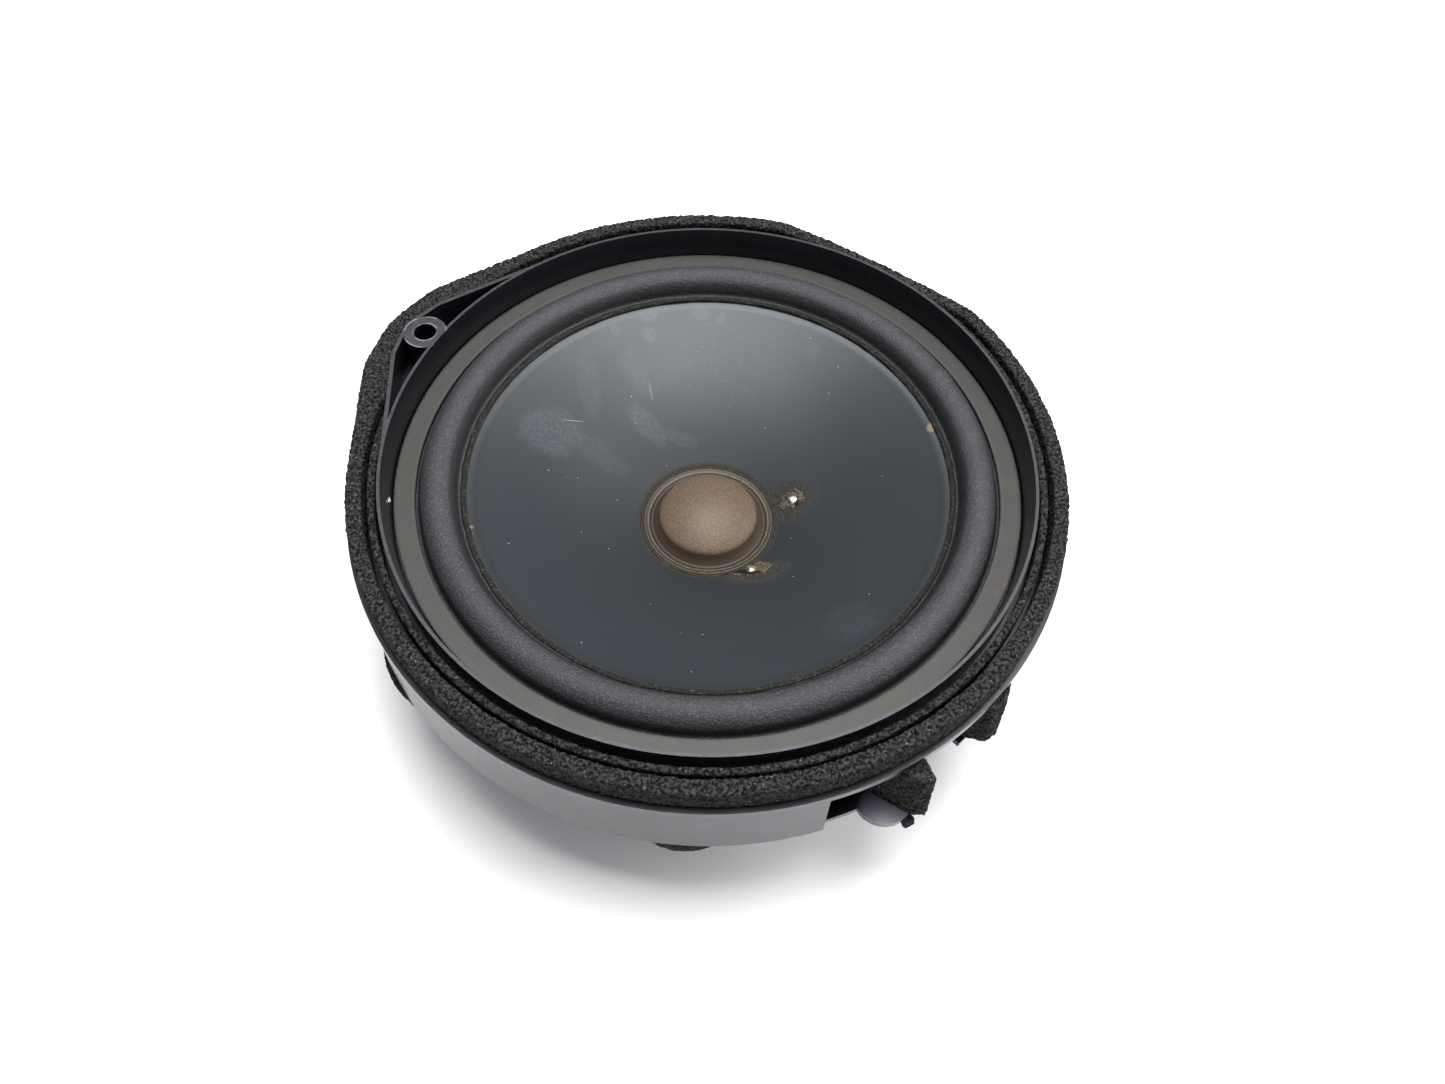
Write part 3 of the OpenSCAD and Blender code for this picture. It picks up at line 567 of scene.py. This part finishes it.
def metal_material(name, dark, pale, roughness, grain=1.2, rust=0.0):
    """Plated or bare metal with faint marks."""
    s = Shader(name, roughness, 1.0)
    marks = s.noise(grain, 4, 0.7)
    base = s.mix(marks, linear(*dark), linear(*pale))
    if rust:
        rusty = s.calc("MULTIPLY", s.ramp(s.noise(5, 5, 0.7), 0.56, 0.7), rust)
        base = s.mix(rusty, base, linear(96, 62, 40))
    s.colour(base)
    s.rough(s.calc("ADD", roughness - 0.08, s.calc("MULTIPLY", marks, 0.18)))
    s.bumps((s.noise(0.4, 2), 0.01))
    return s.mat


def ferrite_material():
    """Ground black ceramic of the ring magnet."""
    s = Shader("ferrite", 0.5)
    s.colour(s.mix(s.noise(1.2, 5, 0.7), linear(46, 46, 49), linear(70, 70, 74)))
    s.bumps((s.noise(0.5, 3), 0.03), (s.noise(2.5, 3), 0.03))
    return s.mat


def wire_material():
    """Enamelled copper turns on the voice coil."""
    s = Shader("copper_wire", 0.35, 0.8)
    z = s.xyz()[2]
    turns = s.calc("SINE", s.calc("MULTIPLY", z, 2 * math.pi / (0.25 * MM)))
    s.colour(s.mix(s.noise(2, 2), linear(150, 78, 40), linear(182, 104, 60)))
    s.bumps((turns, 0.06))
    return s.mat


def film_material():
    """Amber former of the voice coil."""
    s = Shader("former_film", 0.3)
    s.colour(s.mix(s.noise(4, 2), linear(150, 100, 40), linear(176, 124, 60)))
    s.bumps((s.noise(1, 2), 0.01))
    return s.mat


def socket_material():
    """Fine-grained black plastic of the connector socket."""
    s = Shader("socket_plastic", 0.5)
    s.colour(s.mix(s.noise(3, 3), linear(30, 30, 32), linear(44, 44, 46)))
    s.bumps((s.noise(0.35, 2), 0.03))
    return s.mat


MATERIALS = {
    "carrier_plastic": moulded_plastic(),
    "foam": foam_material(),
    "surround_rubber": rubber_material(),
    "cone_plastic": cone_material(),
    "ring_board": board_material(),
    "cap_cloth": cap_material(),
    "glue": glue_material("glue", (13, 13, 13), (62, 57, 44), 0.8, 0.5),
    "lead_glue": glue_material("lead_glue", (24, 20, 15), (90, 79, 62), 0.8, 0.4, LEAD_GAP_SHADE, 0.5),
    "spider_cloth": cloth_material(),
    "solder": metal_material("solder", (112, 110, 104), (190, 188, 181), 0.4, 0.9),
    "lead_braid": metal_material("lead_braid", (170, 112, 74), (206, 150, 112), 0.4, 0.4),
    "plated_steel": metal_material("plated_steel", (150, 148, 140), (178, 177, 170), 0.38, 2.0, 0.5),
    "blade_tin": metal_material("blade_tin", (176, 172, 158), (206, 203, 192), 0.3),
    "ferrite": ferrite_material(),
    "copper_wire": wire_material(),
    "former_film": film_material(),
    "socket_plastic": socket_material(),
}
SLOT_OF = {row["node"]: row["material_slot"] for row in frame["record"]["subparts"]}


def dress(obj, slot):
    """Gives a new piece its material."""
    obj.data.materials.clear()
    obj.data.materials.append(MATERIALS[slot])


def dress_node(name):
    """Gives a CAD node that stays visible its material."""
    node = NODES[name]
    if not node.material_slots:
        node.data.materials.append(None)
    for place in node.material_slots:
        place.material = MATERIALS[SLOT_OF[name]]


# ---------------------------------------------------------------- foam

# Sizes of the foam's open cells, of its lumps and of its slow swells
PORE, LUMP, SWELL = 0.95 * MM, 1.1 * MM, 7 * MM
# Share of the pore pattern that lies below the foam's mean surface
PORE_MEAN = 0.72


def foam_piece(name, node, voxel, relief, soften, seed, shape=None):
    """Remeshes a foam solid finely, rounds it and gives it torn open cells."""
    obj = add_object(name, NODES[node].data.copy())
    remesh = obj.modifiers.new("remesh", "REMESH")
    remesh.mode = "VOXEL"
    remesh.voxel_size = voxel * MM
    remesh.adaptivity = 0.0
    smooth = obj.modifiers.new("smooth", "SMOOTH")
    smooth.factor = 0.5
    smooth.iterations = soften
    depsgraph = bpy.context.evaluated_depsgraph_get()
    obj.data = bpy.data.meshes.new_from_object(obj.evaluated_get(depsgraph))
    obj.modifiers.clear()
    co = points_of(obj)
    if shape is not None:
        co = shape(co)
        set_points(obj, co)
    out = normals_of(obj)
    pores = pore_noise(co, PORE, seed)
    slow = smooth_noise(co, SWELL, seed + 3)
    lumps = smooth_noise(co, LUMP, seed + 5, 1)
    push = relief * ((pores - PORE_MEAN) + 0.45 * lumps + 0.18 * slow)
    set_points(obj, co + out * (push * MM)[:, None])
    obj.data.polygons.foreach_set("use_smooth", [True] * len(obj.data.polygons))
    dress(obj, "foam")
    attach(obj, FIXED)
    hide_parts(node)


foam_piece("front_gasket", "gasket_outer", 0.38, 0.5, 4, 1)
foam_piece("inner_gasket", "gasket_inner", 0.38, 0.35, 3, 2)
for letter, seed in (("a", 3), ("b", 4), ("c", 5), ("d", 6)):
    foam_piece("side_block_" + letter, "foam_block_" + letter, 0.42, 0.5, 2, seed)
foam_piece("tongue_pad", "foam_tongue_pad", 0.3, 0.25, 1, 7)


def hanging(co):
    """The rear strip was glued by hand: one end of it hangs a little."""
    angle = np.degrees(np.arctan2(co[:, 1], co[:, 0])) % 360
    top = co[:, 2].max()
    low = (top - co[:, 2]) / (top - co[:, 2].min())
    moved = co.copy()
    moved[:, 2] -= 0.5 * MM * np.exp(-((angle - 266) / 3.8) ** 2) * low
    return moved


foam_piece("rear_strip_left", "rear_foam_left", 0.5, 0.4, 3, 8, shape=hanging)
foam_piece("rear_strip_right", "rear_foam_right", 0.5, 0.4, 3, 9)


# ---------------------------------------------------------------- cone side

def radial_blend(obj):
    """Bakes the piece's placement into its mesh and reads its points."""
    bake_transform(obj)
    co = points_of(obj)


def make_surround():
    """Half roll between two flat feet, with soft unevenness round the roll."""
    roll_r, outer_w, height, thick = 67.2, 4.6, 5.2, 0.7
    inner_w = outer_w - thick
    foot_z = FOOT_TOP - thick
    steps = 26
    line = [(60.6, foot_z), (60.6, FOOT_TOP - 0.1), (60.7, FOOT_TOP), (61.7, FOOT_TOP)]
    line.append((62.3, FOOT_TOP + 0.04))
    for k in range(1, steps):
        t = math.pi * k / steps
        line.append((roll_r - outer_w * math.cos(t), FOOT_TOP + height * math.sin(t)))
    line += [(72.1, FOOT_TOP + 0.04), (72.7, FOOT_TOP), (75.0, FOOT_TOP), (77.6, FOOT_TOP), (77.6, foot_z)]
    line += [(74.0, foot_z), (71.1, foot_z)]
    for k in range(1, steps):
        t = math.pi * k / steps
        line.append((roll_r + inner_w * math.cos(t), foot_z + height * math.sin(t)))
    line += [(63.3, foot_z), (61.8, foot_z)]

    def uneven(a, r, z):
        lift = min(max((z - FOOT_TOP) / height, 0), 1)
        near = math.exp(-((math.degrees(a) - 22) / 26) ** 2)
        dimple = 0.3 * near * wave(a, 7, (26, 41, 60))
        return 0.14 * lift * wave(a, 5, (7, 11, 17)), lift * (0.12 * wave(a, 6, (5, 9, 13, 21)) + dimple)

    obj = lathe("surround_roll", line, 480, uneven)
    dress(obj, "surround_rubber")
    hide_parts("surround")
    radial_blend(obj)


def make_spider():
    """Corrugated cloth disc between the carrier's seat and the voice coil."""
    mid_z, thick, rise, turns = 28.3, 0.5, 0.85, 5
    r0, r1 = 15.0, 38.0
    steps = turns * 14
    middle = [(12.86, mid_z), (13.9, mid_z)]
    for k in range(steps + 1):
        along = k / steps
        middle.append((r0 + (r1 - r0) * along, mid_z + rise * math.sin(2 * math.pi * turns * along)))
    middle += [(40.0, mid_z), (42.5, mid_z), (44.95, mid_z)]
    half = thick / 2
    line = [(r, z + half) for r, z in middle] + [(r, z - half) for r, z in reversed(middle)]
    obj = lathe("spider_disc", line, 300)
    dress(obj, "spider_cloth")
    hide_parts("spider")
    radial_blend(obj)


def make_cone():
    """The cone's shell, smooth in its turn, with a fine step at the neck."""
    thick, rim_r = 0.7, 62.5
    line = [(NECK_R, NECK_Z), (NECK_R + 0.1, NECK_Z + 0.15)]
    for k in range(1, 25):
        r = NECK_R + (CONE_EDGE_R - NECK_R) * k / 25
        line.append((r, cone_top(r)))
    line += [(CONE_EDGE_R, CONE_EDGE_Z), (CONE_EDGE_R + 0.4, CONE_EDGE_Z), (rim_r, CONE_EDGE_Z)]
    line += [(rim_r, CONE_EDGE_Z - thick), (CONE_EDGE_R + 0.3, CONE_EDGE_Z - thick)]
    for k in range(24, -1, -1):
        r = NECK_R + thick + (CONE_EDGE_R - NECK_R - thick) * k / 25
        line.append((r, cone_top(r) - thick * 1.1))
    line += [(NECK_R + thick, NECK_Z - 1.8), (NECK_R, NECK_Z - 1.8)]
    obj = lathe("cone_shell", line, 360)
    dress(obj, "cone_plastic")
    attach(obj, MOVING)
    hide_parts("cone")


def make_clamp_ring():
    """Board ring with softly rounded, slightly uneven edges."""
    z0, z1 = RING_Z - 1.2, RING_Z
    line = [(72.6, z0), (72.6, z1 - 0.25), (72.7, z1 - 0.06), (72.95, z1)]
    line += [(r, z1) for r in np.linspace(73.6, 76.9, 6)]
    line += [(77.5, z1), (77.75, z1 - 0.06), (77.87, z1 - 0.25), (77.87, z0)]
    line += [(r, z0) for r in np.linspace(76.6, 73.6, 4)]

    def cut(a, r, z):
        edge = 1.0 if r < 73.2 else 0.0
        return 0.04 * edge * wave(a, 9, (9, 14, 23, 31)), 0.0

    obj = lathe("clamp_ring_board", line, 480, cut)
    dress(obj, "ring_board")
    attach(obj, FIXED)
    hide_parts("clamp_ring")


def make_surround_glue():
    """Thin uneven bead of glue and dust along the roll's inner foot."""
    base = FOOT_TOP + 0.02
    line = [(60.62, base), (60.75, base + 0.12), (61.1, base + 0.2), (61.6, base + 0.14), (62.0, base)]

    def uneven(a, r, z):
        high = (z - base) / 0.2
        return 0.16 * wave(a, 21, (13, 29, 47, 71)), 0.1 * high * wave(a, 22, (17, 37, 53, 90))

    obj = lathe("surround_bead", line, 720, uneven)
    dress(obj, "glue")
    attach(obj, MOVING)
    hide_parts("surround_glue")


def make_dust_cap():
    """Flat lip on the cone, a shallow moat, a steep side and a low dome."""
    lip_r, dome_r, thick, rise = 16.0, 12.7, 0.5, 3.4
    lip_z = cone_top(lip_r)
    edge_z, moat = lip_z + 3.9, lip_z + 0.4
    ball = (dome_r ** 2 + rise ** 2) / (2 * rise)
    centre = edge_z + rise - ball
    reach = math.asin(dome_r / ball)
    line = [(0, edge_z + rise)]
    for k in range(1, 22):
        t = reach * k / 22 * 0.985
        line.append((ball * math.sin(t), centre + ball * math.cos(t)))
    line += [(12.82, edge_z - 0.1), (13.0, edge_z - 0.5), (13.35, edge_z - 1.5), (13.85, moat + 1.0),
             (14.3, moat + 0.3), (14.7, moat + 0.04), (15.05, moat), (15.4, moat + 0.1)]
    line += [(r, lip_z + up) for r, up in ((15.68, 0.7), (15.86, 0.82), (16.1, 0.82))]
    line += [(r, cone_top(r) + up) for r, up in (
        (16.5, 0.68), (16.9, 0.6), (17.12, 0.48), (17.18, 0.12), (16.7, 0.1), (lip_r, 0.1))]
    line += [(15.1, moat - 0.48), (14.25, moat - 0.48), (13.5, moat + 0.5), (12.9, edge_z - 1.3),
             (12.6, edge_z - 0.7)]
    inner = ball - thick
    for k in range(14, 0, -1):
        t = reach * k / 15
        line.append((inner * math.sin(t), centre + inner * math.cos(t)))
    line.append((0, centre + inner))

    def dents(a, r, z):
        return 0, 0.05 * wave(a, 31, (2, 3)) * min(r / 8, 1) if z > edge_z else 0

    obj = capped_lathe("cap_dome", line, 240, dents)
    dress(obj, "cap_cloth")
    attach(obj, MOVING)
    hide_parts("dust_cap")


def make_cap_glue():
    """Thin uneven bead of glue round the dust cap's lip."""
    r0, r1 = 17.2, 18.0
    line = [(r0, cone_top(r0) + 0.06), (r0 + 0.03, cone_top(r0) + 0.42), (r0 + 0.35, cone_top(r0) + 0.42),
            (r1 - 0.1, cone_top(r1) + 0.14), (r1 + 0.15, cone_top(r1 + 0.15) + 0.03)]

    def uneven(a, r, z):
        out = max(r - r0, 0) / (r1 - r0)
        return 0.35 * out * wave(a, 41, (9, 17, 31, 45)), 0.08 * wave(a, 42, (11, 23, 39))

    obj = lathe("cap_bead", line, 480, uneven)
    dress(obj, "glue")
    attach(obj, MOVING)
    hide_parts("cap_glue")


def on_cone(reach, angle):
    """Matrix that places things on the cone's upper face, +Z along its normal."""
    a = math.radians(angle)
    place = Vector((reach * math.cos(a), reach * math.sin(a), cone_top(reach))) * MM
    turn = Matrix.Rotation(a, 4, "Z") @ Matrix.Rotation(-CONE_TILT, 4, "Y")
    return Matrix.Translation(place) @ turn


# Half sizes and turn of the glue patch round each lead eyelet
PATCHES = ((3.4, 2.6, 0.5), (5.6, 2.3, 0.1))
# Radius of a patch's hole, and how near the patches come to the cone's axis
PATCH_HOLE_R = 1.25
PATCH_IN_R = 17.9


def glue_patch(number, reach, angle):
    """One rough patch of glue on the cone, with a hole for its eyelet: a thin
    closed skin, thickest at the hole and ragged at its outer edge."""
    rng = random.Random(70 + number)
    _, coarse, fine = (rng.uniform(0, 6.28) for _ in range(3))
    verts, faces, rings, sides = [], [], 9, 64
    a0 = math.radians(angle)
    centre = Vector((reach * math.cos(a0), reach * math.sin(a0), 0))
    half_x, half_y, turn = PATCHES[number]
    for k in range(rings + 1):
        for j in range(sides):
            a = 2 * math.pi * j / sides
            oval = 1 / math.hypot(math.cos(a - turn) / half_x, math.sin(a - turn) / half_y)
            ragged = oval + 0.3 * math.sin(5 * a + coarse) + 0.2 * math.sin(9 * a + fine)
            r = PATCH_HOLE_R + (ragged - PATCH_HOLE_R) * k / rings
            x, y = centre.x + r * math.cos(a), centre.y + r * math.sin(a)
            out = math.hypot(x, y)
            if out < PATCH_IN_R:
                x, y, out = x * PATCH_IN_R / out, y * PATCH_IN_R / out, PATCH_IN_R
            edge = 1 - (k / rings) ** 3
            lift = 0.04 + edge * (0.34 + 0.16 * noise.noise(Vector((x, y, number)) * 1.3))
            verts.append((x * MM, y * MM, (cone_top(out) + lift) * MM))
    top = len(verts)
    for k in range(rings + 1):
        for j in range(sides):
            x, y, _ = verts[k * sides + j]
            out = math.hypot(x, y) / MM
            verts.append((x, y, (cone_top(out) + 0.02) * MM))
    for j in range(sides):
        n = (j + 1) % sides
        for k in range(rings):
            b = k * sides
            faces.append((b + j, b + sides + j, b + sides + n, b + n))
            faces.append((top + b + n, top + b + sides + n, top + b + sides + j, top + b + j))
        faces.append((j, n, top + n, top + j))
        outer = rings * sides
        faces.append((outer + n, outer + j, top + outer + j, top + outer + n))
    return new_object("patch_%d" % number, verts, faces)


def make_lead_ends():
    """Eyelets with their solder, and the rough patches of glue round them."""
    parts, patches = [], []
    for number, (reach, angle) in enumerate(EYELETS):
        place = on_cone(reach, angle)
        line = [(0, 0.95), (0.4, 0.92), (0.8, 0.78), (1.1, 0.6), (1.25, 0.46), (1.5, 0.42), (1.62, 0.28),
                (1.58, 0.08), (0.72, 0.06), (0.7, -1.2), (1.1, -1.24), (1.15, -1.5), (0, -1.55)]

        def lumpy(a, r, z, seed=50 + number):
            out = 0.16 * wave(a, seed, (2, 3, 5)) if z > 0.07 else 0
            return out, 0.2 * wave(a, seed + 7, (1, 2, 3)) if z > 0.3 else 0

        blob = capped_lathe("eyelet_%d" % number, line, 40, lumpy)
        blob.data.transform(place)
        parts.append(blob)
        patches.append(glue_patch(number, reach, angle))
    for group, name, slot, node in ((parts, "eyelet_solder", "solder", "lead_eyelets"),
                                    (patches, "lead_patches", "lead_glue", "lead_glue")):
        joined = join(group, name)
        dress(joined, slot)
        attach(joined, MOVING)
        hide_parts(node)


def join(objects, name):
    """Several mesh objects as one, all at the origin."""
    bm = bmesh.new()
    for obj in objects:
        bm.from_mesh(obj.data)
        bpy.data.objects.remove(obj)
    mesh = bpy.data.meshes.new(name)
    bm.to_mesh(mesh)
    bm.free()
    mesh.polygons.foreach_set("use_smooth", [True] * len(mesh.polygons))
    return add_object(name, mesh)


def tube(name, path, radius, sides):
    """Closed round tube along points, in metres, with flat ends."""
    verts, faces = [], []
    count, side = len(path), None
    for i, p in enumerate(path):
        along = (path[min(i + 1, count - 1)] - path[max(i - 1, 0)]).normalized()
        side = along.orthogonal() if side is None else side - along * side.dot(along)
        side.normalize()
        up = along.cross(side)
        for j in range(sides):
            a = 2 * math.pi * j / sides
            verts.append(p + radius * (math.cos(a) * side + math.sin(a) * up))
    for i in range(count - 1):
        for j in range(sides):
            n = (j + 1) % sides
            faces.append((i * sides + j, i * sides + n, (i + 1) * sides + n, (i + 1) * sides + j))
    faces.append(tuple(range(sides)))
    faces.append(tuple((count - 1) * sides + j for j in reversed(range(sides))))
    return new_object(name, verts, faces)


def make_tinsel_lead(letter, eyelet, side):
    """Flexible lead of three twisted strands, from an eyelet to the socket."""
    socket_r0, pitch = 59.0, 7.6
    reach, angle = eyelet
    a, s = math.radians(angle), math.radians(SECTOR_A)
    out, axis = Vector((math.cos(a), math.sin(a), 0)), Vector((math.cos(s), math.sin(s), 0))
    across = Vector((-axis.y, axis.x, 0))
    start = out * (reach + 0.9) + Vector((0, 0, cone_top(reach + 0.9) - 2.3))
    end = axis * (socket_r0 - 4.2) + across * (side * pitch / 2) + Vector((0, 0, 39.8))
    points = (start, start + out * 9 + Vector((0, 0, -1)), end - axis * 10 + Vector((0, 0, -5)), end)
    rings = 110
    middle = []
    for k in range(rings + 1):
        t = k / rings
        weights = ((1 - t) ** 3, 3 * t * (1 - t) ** 2, 3 * t * t * (1 - t), t ** 3)
        middle.append(sum((p * w for p, w in zip(points, weights)), Vector()) * MM)
    strands = []
    for number in range(3):
        path, beside = [], None
        for k, p in enumerate(middle):
            along = (middle[min(k + 1, rings)] - middle[max(k - 1, 0)]).normalized()
            if beside is None:
                beside = along.orthogonal()
            else:
                beside = beside - along * beside.dot(along)
            beside.normalize()
            turn = 2 * math.pi * (number / 3 + k / 9)
            away = math.cos(turn) * beside + math.sin(turn) * along.cross(beside)
            path.append(p + 0.24 * MM * away)
        strands.append(tube("strand", path, 0.26 * MM, 7))
    obj = join(strands, "pigtail_" + letter)
    dress(obj, "lead_braid")
    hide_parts("tinsel_lead_" + letter)
    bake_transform(obj)
    co = points_of(obj)
    line = np.array([tuple(p) for p in middle])
    nearest = np.array([np.argmin(((line - p) ** 2).sum(1)) for p in co]) / rings
    t = 1 - nearest


def make_neck_glue():
    """Bead of glue in the corner between the cone's neck and the spider."""
    r0 = NECK_R + 0.75
    line = [(r0, 28.6), (r0 + 0.95, 28.6), (r0 + 0.7, 28.85), (r0 + 0.3, 29.3), (r0, 30.1)]

    def uneven(a, r, z):
        return 0.1 * wave(a, 61, (5, 11, 19)) * (r > r0), 0.0

    obj = lathe("neck_bead", line, 180, uneven)
    dress(obj, "glue")
    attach(obj, MOVING)
    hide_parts("neck_glue")


make_surround()
make_spider()
make_cone()
make_clamp_ring()
make_surround_glue()
make_dust_cap()
make_cap_glue()
make_lead_ends()
make_neck_glue()
make_tinsel_lead("a", EYELETS[0], 1)
make_tinsel_lead("b", EYELETS[1], -1)


# ---------------------------------------------------------------- CAD nodes

SHELL = ("collar", "screw_tab", "skirt_left", "skirt_right")
# Half the plan angle of the tab's stretch of the carrier; where it meets the rest
TAB_HALF_A = 35
SEAMS = (TAB_A - TAB_HALF_A, TAB_A + TAB_HALF_A)
# How far apart a seam's two points can lie, and how far its faces from its angle
WELD = 0.07 * MM
NEAR_SEAM = 0.06 * MM


def soft_edges(obj, width=0.2):
    """Narrow rounding, in millimetres, on the edges of a moulded or turned part."""
    soften = obj.modifiers.new("edges", "BEVEL")
    soften.width = width * MM
    soften.segments = 2
    soften.limit_method = "ANGLE"
    soften.angle_limit = math.radians(40)
    even = obj.modifiers.new("even", "WEIGHTED_NORMAL")
    even.keep_sharp = True


def make_shell():
    """The collar, the flange, the skirt and the screw tab as the one moulding
    they are: copies of the CAD meshes, joined and closed over their seams."""
    bm = bmesh.new()
    for name in SHELL:
        part = NODES[name].data.copy()
        part.transform(NODES[name].matrix_world)
        bm.from_mesh(part)
        bpy.data.meshes.remove(part)
    bmesh.ops.remove_doubles(bm, verts=bm.verts[:], dist=WELD)

    def near_seam(point, angle):
        a = math.radians(angle)
        return (abs(point.y * math.cos(a) - point.x * math.sin(a)) < NEAR_SEAM
                and point.x * math.cos(a) + point.y * math.sin(a) > 0)

    for angle in SEAMS:
        ends = [face for face in bm.faces if all(near_seam(v.co, angle) for v in face.verts)]
        bmesh.ops.delete(bm, geom=ends, context="FACES")
    mesh = bpy.data.meshes.new("carrier_shell")
    bm.to_mesh(mesh)
    bm.free()
    mesh.polygons.foreach_set("use_smooth", [True] * len(mesh.polygons))
    mesh.set_sharp_from_angle(angle=math.radians(30))
    obj = add_object("carrier_shell", mesh)
    dress(obj, "carrier_plastic")
    soft_edges(obj, 0.14)
    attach(obj, FIXED)
    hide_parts(*SHELL)


make_shell()
KEPT = [name for name, node in NODES.items() if not node.hide_render]
for kept in KEPT:
    dress_node(kept)
    soft_edges(NODES[kept])


# ---------------------------------------------------------------- setting

def make_floor():
    """Plain white table top, larger than the view, a hair below the loudspeaker."""
    size, steps, height = 3.0, 8, -0.0002
    verts, faces = [], []
    for i in range(steps + 1):
        for j in range(steps + 1):
            verts.append(((i / steps - 0.5) * size, (j / steps - 0.5) * size, height))
    for i in range(steps):
        for j in range(steps):
            a = i * (steps + 1) + j
            faces.append((a, a + steps + 1, a + steps + 2, a + 1))
    obj = new_object("floor", verts, faces, smooth=False)
    s = Shader("table_top", 0.9)
    s.colour(s.mix(s.noise(300, 2), (0.87, 0.87, 0.88, 1), (0.88, 0.88, 0.89, 1)))
    obj.data.materials.append(s.mat)


def add_light(name, place, target, size, power):
    """A square soft light at a place, turned to the target, in metres and watts."""
    data = bpy.data.lights.new(name, "AREA")
    data.shape = "SQUARE"
    data.size = size
    data.energy = power
    obj = add_object(name, data)
    obj.location = place
    aim = Vector(target) - Vector(place)
    obj.rotation_euler = aim.to_track_quat("-Z", "Y").to_euler()


make_floor()
add_light("key", (0.04, 0.14, 1.0), (0, 0, 0.03), 0.64, 19.8)
add_light("window", (0.95, 0.15, 0.55), (0, 0, 0.05), 0.6, 9.0)
world = bpy.data.worlds.new("studio")
world.use_nodes = True
world.node_tree.nodes["Background"].inputs[0].default_value = (0.95, 0.97, 1.0, 1)
world.node_tree.nodes["Background"].inputs[1].default_value = 0.43
bpy.context.scene.world = world
bpy.context.scene.view_settings.view_transform = "Standard"

bpy.context.view_layer.update()
